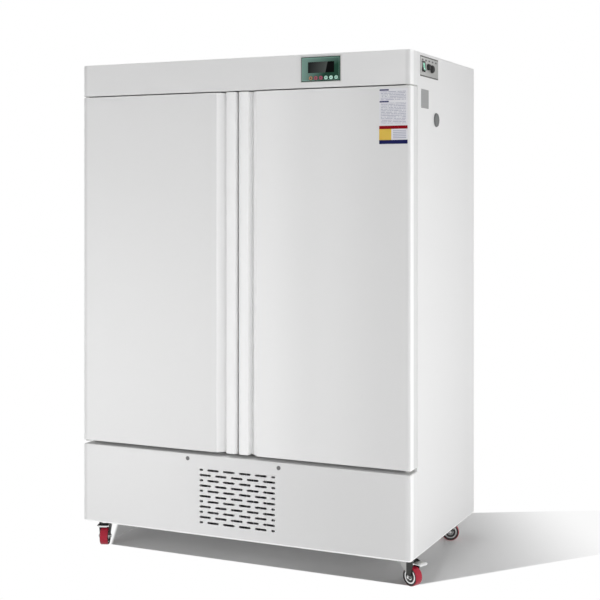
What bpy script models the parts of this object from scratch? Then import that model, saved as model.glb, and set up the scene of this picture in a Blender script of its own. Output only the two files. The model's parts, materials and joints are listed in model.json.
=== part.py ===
"""Two-door light incubator on four casters, as an assembly of separate pieces.

Units are metres, +Z is up, the doors face -Y, and the origin is on the floor
under the middle of the cabinet.
"""

from math import asin, atan2, cos, degrees, hypot, pi, radians, sin, sqrt

import bmesh
import bpy
from mathutils import Matrix, Vector

# Overall sizes
WIDTH = 1.300
DEPTH = 0.725
BODY_HEIGHT = 1.705
CASTER_HEIGHT = 0.100

# Sheet metal, clearances and edges
SHEET = 0.002
FIT = 0.0003
CORNER_RADIUS = 0.010
ARC_STEPS = 5

# Front of the cabinet
HEADER_HEIGHT = 0.1155
PLINTH_HEIGHT = 0.288
PLINTH_EDGE_RADIUS = 0.006
DOOR_THICKNESS = 0.066
DOOR_TOP_GAP = 0.0045
DOOR_BOTTOM_GAP = 0.0145
DOORS_GAP = 0.008
SEAL_GAP = 0.004
SIDE_FLANGE = 0.022
LID_LIP = 0.015

# Door handle, formed in the meeting edge of each door
HANDLE_STRIP = 0.040
STRIP_CROWN = 0.0035
STRIP_RADIUS = 0.012
STRIP_RIM = 0.004
HANDLE_GROOVE = 0.0385
GROOVE_DEPTH = 0.028
GROOVE_RADIUS = 0.005
ROLL_RADIUS = 0.006

# Door hinges
PIVOT_INSET = 0.014
PIN_RADIUS = 0.005
PIN_LENGTH = 0.020
PIN_CLEARANCE = 0.0004
BOSS_RADIUS = 0.010
BOSS_LENGTH = 0.024
BRACKET_REACH = 0.050
BRACKET_EDGE = 0.004
BRACKET_LEG = 0.055
LEG_SHEET = 0.0025
TOP_BRACKET_SHEET = 0.0028
BOTTOM_BRACKET_SHEET = 0.004
BRACKET_CLEARANCE = 0.001

# Door lining, seal and lamp
PLATEAU_HEIGHT = 0.012
PLATEAU_MARGIN = 0.012
GASKET_WIDTH = 0.013
GASKET_INSET = 0.004
LAMP_WIDTH = 0.032
LAMP_DEPTH = 0.028
LAMP_BASE = 0.010
LAMP_LENGTH = 0.980

# Chamber
WALL = 0.063
CHAMBER_FLOOR = 0.062
CHAMBER_CEILING = 0.0495
CHAMBER_BACK = 0.0855
MULLION_WIDTH = 0.060
MULLION_DEPTH = 0.040
FOAM_BELOW = 0.004
FOAM_ABOVE = 0.0105

# Shelves
SHELF_HEIGHTS = (0.390, 0.780)
SHELF_THICKNESS = 0.005
SHELF_FRAME = 0.007
SHELF_BAR = 0.005
SHELF_BARS = 15
SHELF_GAP = 0.008
SHELF_SIDE_CLEARANCE = 0.0015
CLEAT_WIDTH = 0.100
CLEAT_DEPTH = 0.015
CLEAT_HEIGHT = 0.010
LEDGE_WIDTH = 0.012
LEDGE_SETBACK = 0.040

# Air duct, evaporator and circulation fan
DUCT_WIDTH = 0.700
DUCT_DEPTH = 0.062
DUCT_FLANGE = 0.015
OUTLET_RADIUS = 0.062
OUTLET_SLOTS = 9
OUTLET_BELOW_CEILING = 0.200
INTAKE_COLUMNS = 6
INTAKE_ROWS = 2
INTAKE_ABOVE_FLOOR = 0.060
EVAPORATOR_WIDTH = 0.520
EVAPORATOR_DEPTH = 0.045
EVAPORATOR_HEIGHT = 0.200
EVAPORATOR_ABOVE_FLOOR = 0.560
FAN_BLADES = 5
AIR_FAN_RADIUS = 0.055
AIR_FAN_DEPTH = 0.018
AIR_MOTOR_RADIUS = 0.028
AIR_MOTOR_LENGTH = 0.030
SHAFT_RADIUS = 0.003

# Machine compartment
BASE_SHEET = 0.003
BASE_RIM = 0.030
CONDENSER_WIDTH = 0.330
CONDENSER_DEPTH = 0.040
CONDENSER_HEIGHT = 0.245
CONDENSER_SETBACK = 0.024
FIN_COUNT = 11
FIN_SHEET = 0.002
FIN_FRAME = 0.008
COOLING_FAN_RADIUS = 0.085
COOLING_FAN_DEPTH = 0.024
COOLING_FAN_GAP = 0.015
COOLING_MOTOR_RADIUS = 0.033
COOLING_MOTOR_LENGTH = 0.055
COMPRESSOR_PLACE = (0.300, 0.080)
COMPRESSOR_RADIUS = 0.088
COMPRESSOR_HEIGHT = 0.180
COMPRESSOR_FOOT = 0.012

# Grille of the lower front panel
GRILLE_ROWS = 11
GRILLE_ROW_PITCH = 0.0188
GRILLE_TOP = 0.053
SLOT_PITCH = 0.0636
SLOT_LENGTH = 0.0465
SLOT_HEIGHT = 0.0075
SLOT_END_STEPS = 3
LONG_ROW_SLOTS = 5

# Vents and cord gland of the rear panel
REAR_VENT_ROWS = 5
REAR_VENT_PITCH = 0.036
REAR_VENT_LENGTH = 0.180
REAR_VENT_HEIGHT = 0.006
REAR_VENT_CENTRES = (-0.300, 0.300)
REAR_VENT_BOTTOM = 0.070
GLAND_PLACE = (-0.560, 0.060)
GLAND_RADIUS = 0.012
GLAND_LENGTH = 0.010
GLAND_BORE = 0.0045

# Control panel, placed from the right side and the top of the cabinet
PANEL_FROM_SIDE = 0.3245
PANEL_FROM_TOP = 0.0525
BEZEL_SIZE = (0.151, 0.0905)
BEZEL_DEPTH = 0.0035
FACE_SIZE = (0.1455, 0.0845)
FACE_DEPTH = 0.0022
WINDOW_SIZE = (0.0975, 0.0375)
WINDOW_OFFSET = (0.001, 0.006)
WINDOW_DEPTH = 0.0026
PANEL_CUT_OUT = (0.136, 0.080)
KEY_COUNT = 6
KEY_PITCH = 0.019
KEY_RADIUS = 0.0066
KEY_FLANGE = 0.0012
KEY_FLANGE_DEPTH = 0.0015
KEY_OFFSET = (0.0103, -0.0305)
KEY_PROUD = 0.0018
KEY_STEM = 0.009
BOARD_SIZE = (0.148, 0.092)
BOARD_BEHIND_FRONT = 0.0145
BOARD_SHEET = 0.0016

# Switch plate on the right side
SWITCH_PLATE_SIZE = (0.187, 0.070)
SWITCH_PLATE_FROM_FRONT = 0.1905
SWITCH_PLATE_FROM_TOP = 0.0453
SWITCH_CUT_OUT = (0.172, 0.0515)
ROCKER_OFFSET = (-0.0665, -0.0022)
ROCKER_SIZE = (0.0304, 0.0296)
ROCKER_WINDOW_HEIGHT = 0.0334
ROCKER_RIM = 0.0035
ROCKER_RIM_PROUD = 0.002
ROCKER_PROUD = 0.0045
ROCKER_DIP = 0.0018
ROCKER_DEPTH = 0.007
ROCKER_TILT = 10.0
FUSE_OFFSET = (-0.018, 0.0008)
FUSE_RADIUS = 0.011
SOCKET_OFFSET = (0.020, -0.0032)
SOCKET_RADIUS = 0.0135
FITTING_BODY = 0.0085
FITTING_LENGTH = 0.028
FITTING_PROUD = 0.009

# Access port in the right wall
PORT_FROM_FRONT = 0.2662
PORT_FROM_TOP = 0.2214
PORT_RADIUS = 0.0175
PORT_WALL = 0.003
PORT_FLANGE_RADIUS = 0.025
PLUG_CLEARANCE = 0.0005
PLUG_CAP_RADIUS = 0.0235
PLUG_CAP_DEPTH = 0.004
PLUG_LENGTH = 0.026

# Casters
CASTER_INSET_SIDE = 0.047
CASTER_INSET_FRONT = 0.0875
CASTER_INSET_REAR = 0.0505
CASTER_PLATE = 0.055
CASTER_PLATE_SHEET = 0.004
RACEWAY_RADIUS = 0.022
RACEWAY_DEPTH = 0.0025
FORK_HEAD_RADIUS = 0.026
FORK_HEAD_DEPTH = 0.0047
FORK_SHEET = 0.0025
CROWN_SHEET = 0.004
WHEEL_RADIUS = 0.0325
WHEEL_WIDTH = 0.030
WHEEL_SIDES = 20
ROUND_SIDES = 16
TREAD_DEPTH = 0.008
HUB_RADIUS = 0.011
WHEEL_GAP = 0.002
AXLE_RADIUS = 0.004
AXLE_HEAD_RADIUS = 0.007
AXLE_HEAD = 0.003
TRAIL = 0.030
PEDAL_ROD_RADIUS = 0.0025
PEDAL_PIVOT = (0.043, 0.0785)
PEDAL_REACH = 0.083
PEDAL_WIDTH = 0.042
PEDAL_SHEET = 0.0025
HEADINGS = {"front_right": -24.0, "front_left": -68.0, "rear_right": 200.0, "rear_left": 180.0}

# Places worked out from the sizes above
SIDE_X = WIDTH / 2
FRONT_Y = -DEPTH / 2
REAR_Y = DEPTH / 2
BODY_BOTTOM = CASTER_HEIGHT
BODY_TOP = CASTER_HEIGHT + BODY_HEIGHT
HEADER_BOTTOM = BODY_TOP - HEADER_HEIGHT
PLINTH_TOP = BODY_BOTTOM + PLINTH_HEIGHT
DOOR_TOP = HEADER_BOTTOM - DOOR_TOP_GAP
DOOR_BOTTOM = PLINTH_TOP + DOOR_BOTTOM_GAP
DOOR_REAR_Y = FRONT_Y + DOOR_THICKNESS
FACE_Y = DOOR_REAR_Y + SEAL_GAP
INSIDE_X = SIDE_X - SHEET - FIT
INSIDE_REAR_Y = REAR_Y - SHEET - FIT
CHAMBER_X = SIDE_X - SHEET - WALL
CHAMBER_BOTTOM = PLINTH_TOP + CHAMBER_FLOOR
CHAMBER_TOP = HEADER_BOTTOM - CHAMBER_CEILING
CHAMBER_REAR_Y = REAR_Y - SHEET - CHAMBER_BACK
BASE_FLOOR = BODY_BOTTOM + BASE_SHEET
PIVOT_X = SIDE_X - PIVOT_INSET
PIVOT_Y = FRONT_Y + PIVOT_INSET
PANEL_X = SIDE_X - PANEL_FROM_SIDE
PANEL_Z = BODY_TOP - PANEL_FROM_TOP
SWITCH_PLATE_Y = FRONT_Y + SWITCH_PLATE_FROM_FRONT
SWITCH_Z = BODY_TOP - SWITCH_PLATE_FROM_TOP
PORT_Y = FRONT_Y + PORT_FROM_FRONT
PORT_Z = BODY_TOP - PORT_FROM_TOP
PORT_HOLE_RADIUS = PORT_RADIUS + PORT_WALL + FIT
DUCT_FRONT_Y = CHAMBER_REAR_Y - DUCT_DEPTH
MULLION_REAR_Y = FACE_Y + MULLION_DEPTH
AXIS_VECTORS = {"X": Vector((1, 0, 0)), "Y": Vector((0, 1, 0)), "Z": Vector((0, 0, 1))}

# Colour, roughness and metallic value of each finish
FINISHES = {
    "white_paint": ((0.80, 0.80, 0.80), 0.35, 0.0),
    "black_paint": ((0.03, 0.03, 0.03), 0.45, 0.0),
    "stainless": ((0.62, 0.62, 0.62), 0.30, 1.0),
    "zinc": ((0.70, 0.70, 0.68), 0.35, 1.0),
    "aluminium": ((0.75, 0.75, 0.76), 0.40, 1.0),
    "white_plastic": ((0.82, 0.82, 0.82), 0.45, 0.0),
    "foam": ((0.86, 0.82, 0.66), 0.90, 0.0),
    "grey_rubber": ((0.62, 0.62, 0.62), 0.80, 0.0),
    "lamp": ((0.95, 0.95, 0.92), 0.30, 0.0),
    "green_plastic": ((0.10, 0.30, 0.22), 0.40, 0.0),
    "grey_plastic": ((0.60, 0.61, 0.60), 0.45, 0.0),
    "black_plastic": ((0.03, 0.03, 0.03), 0.40, 0.0),
    "display": ((0.02, 0.025, 0.022), 0.10, 0.0),
    "orange_key": ((0.75, 0.45, 0.20), 0.40, 0.0),
    "red_key": ((0.70, 0.18, 0.22), 0.40, 0.0),
    "pale_key": ((0.72, 0.85, 0.78), 0.40, 0.0),
    "red_tread": ((0.52, 0.05, 0.09), 0.45, 0.0),
    "circuit_board": ((0.05, 0.22, 0.10), 0.60, 0.0),
    "lit_green": ((0.30, 0.75, 0.55), 0.30, 0.0),
}


def finish(name):
    """Return the material of a finish, made on first use."""
    if name in bpy.data.materials:
        return bpy.data.materials[name]
    colour, roughness, metallic = FINISHES[name]
    material = bpy.data.materials.new(name)
    material.use_nodes = True
    shader = material.node_tree.nodes["Principled BSDF"]
    shader.inputs["Base Color"].default_value = (*colour, 1.0)
    shader.inputs["Roughness"].default_value = roughness
    shader.inputs["Metallic"].default_value = metallic
    return material


def empty(name, place, turn=0.0, parent=None):
    """Add an empty that stands on a joint's axis; turn is about Z, in degrees."""
    holder = bpy.data.objects.new(name, None)
    holder.location = place
    holder.rotation_euler = (0, 0, radians(turn))
    holder.parent = parent
    bpy.context.scene.collection.objects.link(holder)
    return holder


def place(bm, name, finish_name, parent=None, at=(0, 0, 0), smooth=False):
    """Turn a bmesh into an object of the scene."""
    bmesh.ops.recalc_face_normals(bm, faces=bm.faces)
    mesh = bpy.data.meshes.new(name)
    bm.to_mesh(mesh)
    bm.free()
    if smooth:
        mesh.shade_smooth()
        mesh.set_sharp_from_angle(angle=radians(35))
    mesh.materials.append(finish(finish_name))
    piece = bpy.data.objects.new(name, mesh)
    piece.location = at
    piece.parent = parent
    bpy.context.scene.collection.objects.link(piece)
    return piece


def helper_solid(bm, name, parent=None, at=(0, 0, 0)):
    """Add a solid that only shapes another piece."""
    solid = place(bm, name, "grey_plastic", parent, at)
    solid.hide_render = True
    solid.display_type = "WIRE"
    return solid


def combine(piece, other, operation):
    """Join another solid to a piece, or cut it out of the piece."""
    step = piece.modifiers.new(other.name, "BOOLEAN")
    step.operation = operation
    step.solver = "EXACT"
    step.object = other


def cut(piece, other):
    combine(piece, other, "DIFFERENCE")


def join(piece, other):
    combine(piece, other, "UNION")


def along(axis, a, b, height):
    """Point whose in-plane coordinates are a and b, at a height along the axis."""
    if axis == "X":
        return Vector((height, a, b))
    if axis == "Y":
        return Vector((a, height, b))
    return Vector((a, b, height))


def prism(outline, axis, start, end, holes=(), bm=None):
    """Extrude an outline, with any holes in it, along an axis."""
    bm = bm or bmesh.new()
    edges = []
    for loop in (outline, *holes):
        ring = [bm.verts.new(along(axis, a, b, start)) for a, b in loop]
        edges += [bm.edges.new((ring[i - 1], ring[i])) for i in range(len(ring))]
    if holes:
        filled = bmesh.ops.triangle_fill(bm, edges=edges, use_beauty=True, use_dissolve=False)
        faces = [item for item in filled["geom"] if isinstance(item, bmesh.types.BMFace)]
    else:
        faces = [bm.faces.new(ring)]
    grown = bmesh.ops.extrude_face_region(bm, geom=faces, use_keep_orig=True)
    moved = [item for item in grown["geom"] if isinstance(item, bmesh.types.BMVert)]
    bmesh.ops.translate(bm, verts=moved, vec=AXIS_VECTORS[axis] * (end - start))
    return bm


def rectangle(low, high):
    return [(low[0], low[1]), (high[0], low[1]), (high[0], high[1]), (low[0], high[1])]


def centred(size, centre=(0, 0)):
    """Rectangle of a size around a centre."""
    half_a, half_b = size[0] / 2, size[1] / 2
    low = (centre[0] - half_a, centre[1] - half_b)
    return rectangle(low, (centre[0] + half_a, centre[1] + half_b))


def block(low, high, bm=None):
    """Box between two corners."""
    return prism(rectangle(low[:2], high[:2]), "Z", low[2], high[2], bm=bm)


def arc(centre, radius, start, end, steps=ARC_STEPS):
    """Points of an arc; angles in degrees."""
    turns = [radians(start + (end - start) * i / steps) for i in range(steps + 1)]
    return [(centre[0] + radius * cos(t), centre[1] + radius * sin(t)) for t in turns]


def circle(centre, radius, sides):
    return arc(centre, radius, 0, 360 * (sides - 1) / sides, sides - 1)


def slot(centre, length, height, steps=SLOT_END_STEPS):
    """Slot with round ends, lying along the first coordinate."""
    radius = height / 2
    reach = length / 2 - radius
    right = arc((centre[0] + reach, centre[1]), radius, -90, 90, steps)
    left = arc((centre[0] - reach, centre[1]), radius, 90, 270, steps)
    return right + left


def offset(outline, distance):
    """Outline moved to its left by a distance, with mitred corners."""
    moved = []
    count = len(outline)
    for i in range(count):
        before = Vector(outline[i - 1])
        here = Vector(outline[i])
        after = Vector(outline[(i + 1) % count])
        first = (here - before).normalized()
        second = (after - here).normalized()
        normal = Vector((-first.y - second.y, first.x + second.x)).normalized()
        stretch = normal.dot(Vector((-first.y, first.x)))
        moved.append(tuple(here + normal * distance / stretch))
    return moved


def lathe(profile, axis, sides, bm=None, half_step=False, closed=True):
    """Turn a profile of (radius, place along the axis) points about an axis through the origin."""
    bm = bm or bmesh.new()
    step = 2 * pi / sides
    first = step / 2 if half_step else 0.0
    rings = []
    for radius, height in profile:
        if radius == 0:
            rings.append([bm.verts.new(along(axis, 0, 0, height))])
            continue
        turns = [first + step * i for i in range(sides)]
        rings.append([bm.verts.new(along(axis, radius * cos(t), radius * sin(t), height)) for t in turns])
    pairs = list(zip(rings, rings[1:]))
    if closed:
        pairs.append((rings[-1], rings[0]))
    for lower, upper in pairs:
        for i in range(sides):
            j = (i + 1) % sides
            corners = [lower[i % len(lower)], lower[j % len(lower)]]
            corners += [upper[j % len(upper)], upper[i % len(upper)]]
            corners = list(dict.fromkeys(corners))
            if len(corners) > 2:
                bm.faces.new(corners)
    return bm


def moved(bm, offset_vector):
    bmesh.ops.translate(bm, verts=bm.verts, vec=Vector(offset_vector))
    return bm


def ring_chain(rings):
    """Closed skin over a chain of rectangles (low x, high x, low z, high z, y), capped at both ends."""
    bm = bmesh.new()
    loops = []
    for x0, x1, z0, z1, y in rings:
        loops.append([bm.verts.new((x, y, z)) for x, z in rectangle((x0, z0), (x1, z1))])
    for lower, upper in zip(loops, loops[1:]):
        for i in range(4):
            bm.faces.new((lower[i - 1], lower[i], upper[i], upper[i - 1]))
    bm.faces.new(loops[0])
    bm.faces.new(loops[-1])
    return bm


def base_frame():
    """Floor pan of the cabinet with its rim, and the four caster plates welded under it."""
    inset = SHEET + FIT
    outer = front_outline(inset, INSIDE_REAR_Y)
    pan = place(prism(outer, "Z", BODY_BOTTOM, BODY_BOTTOM + BASE_RIM), "base_frame", "white_paint")
    inner = front_outline(inset + BASE_SHEET, INSIDE_REAR_Y - BASE_SHEET)
    hollow = prism(inner, "Z", BASE_FLOOR, BODY_BOTTOM + 2 * BASE_RIM)
    cut(pan, helper_solid(hollow, "base_hollow"))
    plates = bmesh.new()
    for x, y in caster_places().values():
        outline = centred((CASTER_PLATE, CASTER_PLATE), (x, y))
        prism(outline, "Z", BODY_BOTTOM - CASTER_PLATE_SHEET, BODY_BOTTOM + BASE_SHEET / 2, bm=plates)
    join(pan, helper_solid(plates, "caster_plates"))
    notches = bmesh.new()
    for side in (-1, 1):
        edges = sorted((side * (SIDE_X - SIDE_FLANGE - FIT), side * SIDE_X))
        block((edges[0], FACE_Y - FIT, BODY_BOTTOM - FIT),
              (edges[1], FACE_Y + SHEET + FIT, BODY_BOTTOM + 2 * BASE_RIM), notches)
    cut(pan, helper_solid(notches, "base_flange_notches"))
    raceways = bmesh.new()
    for x, y in caster_places().values():
        outline = circle((x, y), RACEWAY_RADIUS, ROUND_SIDES)
        bottom = BODY_BOTTOM - CASTER_PLATE_SHEET - RACEWAY_DEPTH
        prism(outline, "Z", bottom, BODY_BOTTOM - CASTER_PLATE_SHEET / 2, bm=raceways)
    join(pan, helper_solid(raceways, "caster_raceways"))


def side_panel(name, side):
    """Outer side sheet, folded inwards along its front edge."""
    inner = SIDE_X - SHEET
    outline = [(SIDE_X, FACE_Y), (SIDE_X, REAR_Y), (inner, REAR_Y), (inner, FACE_Y + SHEET)]
    outline += [(SIDE_X - SIDE_FLANGE, FACE_Y + SHEET), (SIDE_X - SIDE_FLANGE, FACE_Y)]
    outline = [(side * x, y) for x, y in outline]
    return place(prism(outline, "Z", BODY_BOTTOM, BODY_TOP - SHEET - FIT), name, "white_paint")


def port_cutter(name):
    """Cylinder that opens the right wall for the access port."""
    hole = prism(circle((PORT_Y, PORT_Z), PORT_HOLE_RADIUS, WHEEL_SIDES), "X",
                 CHAMBER_X - WALL / 2, SIDE_X + WALL / 2)
    return helper_solid(hole, name)


def side_panels():
    side_panel("left_side_panel", -1)
    right = side_panel("right_side_panel", 1)
    cut(right, port_cutter("side_port_hole"))
    opening = prism(centred(SWITCH_CUT_OUT, (SWITCH_PLATE_Y, SWITCH_Z)), "X",
                    SIDE_X - SIDE_FLANGE / 2, SIDE_X + SHEET)
    cut(right, helper_solid(opening, "switch_opening"))


def top_panel():
    """Lid with a lip turned down inside each side panel."""
    under = BODY_TOP - SHEET
    lip_bottom = under - LID_LIP
    half = [(SIDE_X, BODY_TOP), (SIDE_X, under), (INSIDE_X, under), (INSIDE_X, lip_bottom)]
    half += [(INSIDE_X - SHEET, lip_bottom), (INSIDE_X - SHEET, under)]
    outline = half + [(-x, z) for x, z in reversed(half)]
    place(prism(outline, "Y", FACE_Y + SHEET + FIT, REAR_Y), "top_panel", "white_paint")


def rear_panel():
    """Back sheet with two banks of vents and the bare gland that a supply cord would use."""
    holes = []
    for centre_x in REAR_VENT_CENTRES:
        for row in range(REAR_VENT_ROWS):
            centre_z = BODY_BOTTOM + REAR_VENT_BOTTOM + row * REAR_VENT_PITCH
            holes.append(slot((centre_x, centre_z), REAR_VENT_LENGTH, REAR_VENT_HEIGHT, 2))
    gland_x, gland_z = GLAND_PLACE[0], BODY_BOTTOM + GLAND_PLACE[1]
    holes.append(circle((gland_x, gland_z), GLAND_BORE, 12))
    top, shoulder = BODY_TOP - SHEET - FIT, BODY_TOP - SHEET - LID_LIP - FIT
    neck = INSIDE_X - SHEET - FIT
    half = [(INSIDE_X, BODY_BOTTOM), (INSIDE_X, shoulder), (neck, shoulder), (neck, top)]
    outline = half + [(-x, z) for x, z in reversed(half)]
    panel = place(prism(outline, "Y", REAR_Y - SHEET, REAR_Y, holes), "rear_panel", "white_paint")
    profile = [(GLAND_BORE, REAR_Y - SHEET / 2), (GLAND_RADIUS, REAR_Y - SHEET / 2)]
    profile += [(GLAND_RADIUS, REAR_Y + GLAND_LENGTH * 0.6), (GLAND_RADIUS * 0.7, REAR_Y + GLAND_LENGTH)]
    profile += [(GLAND_BORE, REAR_Y + GLAND_LENGTH)]
    gland = moved(lathe(profile, "Y", 12), (gland_x, 0, gland_z))
    join(panel, helper_solid(gland, "cord_gland"))


def front_outline(inset=0.0, rear=FACE_Y - FIT):
    """Plan of a front cover: flat face, round corners and straight sides, open at the rear."""
    x = SIDE_X - inset
    y = FRONT_Y + inset
    radius = CORNER_RADIUS - inset
    left = arc((-x + radius, y + radius), radius, 180, 270)
    right = arc((x - radius, y + radius), radius, 270, 360)
    return [(-x, rear)] + left + right + [(x, rear)]


def round_upper_edge(bm, height, rear, radius):
    """Round the upper edge of a cover, except along its open rear."""
    edges = []
    for edge in bm.edges:
        level = all(abs(v.co.z - height) < FIT / 10 for v in edge.verts)
        at_rear = all(abs(v.co.y - rear) < FIT / 10 for v in edge.verts)
        if level and not at_rear:
            edges.append(edge)
    bmesh.ops.bevel(bm, geom=edges, offset=radius, segments=3, profile=0.5, affect="EDGES")
    return bm


def hinge_leg_notches(name, low, high):
    """Cutters that clear the legs of the hinge brackets out of a flange."""
    notches = bmesh.new()
    for side in (-1, 1):
        near = SIDE_X - BRACKET_REACH - BRACKET_CLEARANCE
        far = SIDE_X - SHEET - BRACKET_EDGE
        x0, x1 = sorted((side * near, side * far))
        block((x0, FACE_Y - LEG_SHEET - BRACKET_CLEARANCE, low), (x1, FACE_Y + SHEET, high), notches)
    return helper_solid(notches, name)


def header_panel():
    """Hood over the doors, which holds the controls."""
    hood = place(prism(front_outline(), "Z", HEADER_BOTTOM, BODY_TOP), "header_panel", "white_paint")
    hollow = prism(front_outline(SHEET, FACE_Y + SHEET), "Z", HEADER_BOTTOM + SHEET, BODY_TOP - SHEET)
    cut(hood, helper_solid(hollow, "header_hollow"))
    opening = prism(centred(PANEL_CUT_OUT, (PANEL_X, PANEL_Z)), "Y", FRONT_Y - SHEET, FRONT_Y + 2 * SHEET)
    cut(hood, helper_solid(opening, "control_opening"))
    notches = hinge_leg_notches("header_hinge_notches", HEADER_BOTTOM - SHEET, HEADER_BOTTOM + 2 * SHEET)
    cut(hood, notches)


def grille_slots():
    """Staggered slots: long rows of five, and between them four slots with a half slot at each end."""
    edge = (LONG_ROW_SLOTS - 1) / 2 * SLOT_PITCH + SLOT_LENGTH / 2
    slots = []
    for row in range(GRILLE_ROWS):
        z = PLINTH_TOP - GRILLE_TOP - row * GRILLE_ROW_PITCH
        if row % 2:
            centres = [(i - (LONG_ROW_SLOTS - 1) / 2) * SLOT_PITCH for i in range(LONG_ROW_SLOTS)]
            slots += [slot((x, z), SLOT_LENGTH, SLOT_HEIGHT) for x in centres]
            continue
        centres = [(i - LONG_ROW_SLOTS / 2 + 1) * SLOT_PITCH for i in range(LONG_ROW_SLOTS - 1)]
        slots += [slot((x, z), SLOT_LENGTH, SLOT_HEIGHT) for x in centres]
        last_end = centres[-1] + SLOT_LENGTH / 2
        stub = edge - last_end - (SLOT_PITCH - SLOT_LENGTH)
        slots += [slot((side * (edge - stub / 2), z), stub, SLOT_HEIGHT) for side in (-1, 1)]
    return slots


def lower_front_panel():
    """Cover of the machine compartment, pierced by the staggered grille."""
    rear = FACE_Y - FIT
    shell = prism(front_outline(), "Z", BODY_BOTTOM, PLINTH_TOP)
    round_upper_edge(shell, PLINTH_TOP, rear, PLINTH_EDGE_RADIUS)
    cover = place(shell, "lower_front_panel", "white_paint")
    hollow_top = PLINTH_TOP - SHEET
    hollow = prism(front_outline(SHEET, FACE_Y + SHEET), "Z", BODY_BOTTOM - SHEET, hollow_top)
    round_upper_edge(hollow, hollow_top, FACE_Y + SHEET, PLINTH_EDGE_RADIUS - SHEET)
    cut(cover, helper_solid(hollow, "plinth_hollow"))
    slots = bmesh.new()
    for outline in grille_slots():
        prism(outline, "Y", FRONT_Y - SHEET, FRONT_Y + 2 * SHEET, bm=slots)
    cut(cover, helper_solid(slots, "grille_slots"))
    cut(cover, hinge_leg_notches("plinth_hinge_notches", PLINTH_TOP - 2 * SHEET, PLINTH_TOP + SHEET))


def chamber_liner():
    """Steel chamber with its face flange, the port hole and a ledge for each shelf."""
    flange_x = SIDE_X - SIDE_FLANGE - FIT
    flange_low, flange_high = PLINTH_TOP + FOAM_BELOW, HEADER_BOTTOM - FIT
    inner = (-CHAMBER_X, CHAMBER_X, CHAMBER_BOTTOM, CHAMBER_TOP)
    outer = (-CHAMBER_X - SHEET, CHAMBER_X + SHEET, CHAMBER_BOTTOM - SHEET, CHAMBER_TOP + SHEET)
    flange = (-flange_x, flange_x, flange_low, flange_high)
    rings = [(*inner, CHAMBER_REAR_Y), (*inner, FACE_Y), (*flange, FACE_Y)]
    rings += [(*flange, FACE_Y + SHEET), (*outer, FACE_Y + SHEET), (*outer, CHAMBER_REAR_Y + SHEET)]
    liner = place(ring_chain(rings), "chamber_liner", "stainless")
    ledges = bmesh.new()
    for height in SHELF_HEIGHTS:
        top = CHAMBER_BOTTOM + height - FIT
        for side in (-1, 1):
            x0, x1 = sorted((side * (CHAMBER_X - LEDGE_WIDTH), side * (CHAMBER_X + SHEET / 2)))
            block((x0, MULLION_REAR_Y + LEDGE_SETBACK, top - CLEAT_HEIGHT),
                  (x1, DUCT_FRONT_Y - LEDGE_SETBACK, top), ledges)
    join(liner, helper_solid(ledges, "shelf_ledges"))
    cut(liner, port_cutter("liner_port_hole"))


def insulation():
    """Foam between the outer sheets and the chamber."""
    gap = SHEET + FIT
    inner = (-CHAMBER_X - gap, CHAMBER_X + gap, CHAMBER_BOTTOM - gap, CHAMBER_TOP + gap)
    outer = (-INSIDE_X, INSIDE_X, PLINTH_TOP + FOAM_BELOW, HEADER_BOTTOM + FOAM_ABOVE)
    front = FACE_Y + gap
    rings = [(*inner, CHAMBER_REAR_Y + gap), (*inner, front), (*outer, front), (*outer, INSIDE_REAR_Y)]
    foam = place(ring_chain(rings), "insulation", "foam")
    cut(foam, port_cutter("foam_port_hole"))


def shelf_cleats(rear_face, direction):
    """Short bars that carry the inner corners of the shelves; direction is +1 or -1 along Y."""
    cleats = bmesh.new()
    for height in SHELF_HEIGHTS:
        top = CHAMBER_BOTTOM + height - FIT
        y0, y1 = sorted((rear_face - direction * SHEET / 2, rear_face + direction * CLEAT_DEPTH))
        block((-CLEAT_WIDTH / 2, y0, top - CLEAT_HEIGHT), (CLEAT_WIDTH / 2, y1, top), cleats)
    return cleats


def mullion():
    """Post between the two doors, which their seals close on."""
    low = (-MULLION_WIDTH / 2, FACE_Y, CHAMBER_BOTTOM + FIT)
    high = (MULLION_WIDTH / 2, MULLION_REAR_Y, CHAMBER_TOP - FIT)
    post = place(block(low, high), "mullion", "stainless")
    join(post, helper_solid(shelf_cleats(MULLION_REAR_Y, 1), "mullion_cleats"))


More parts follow.
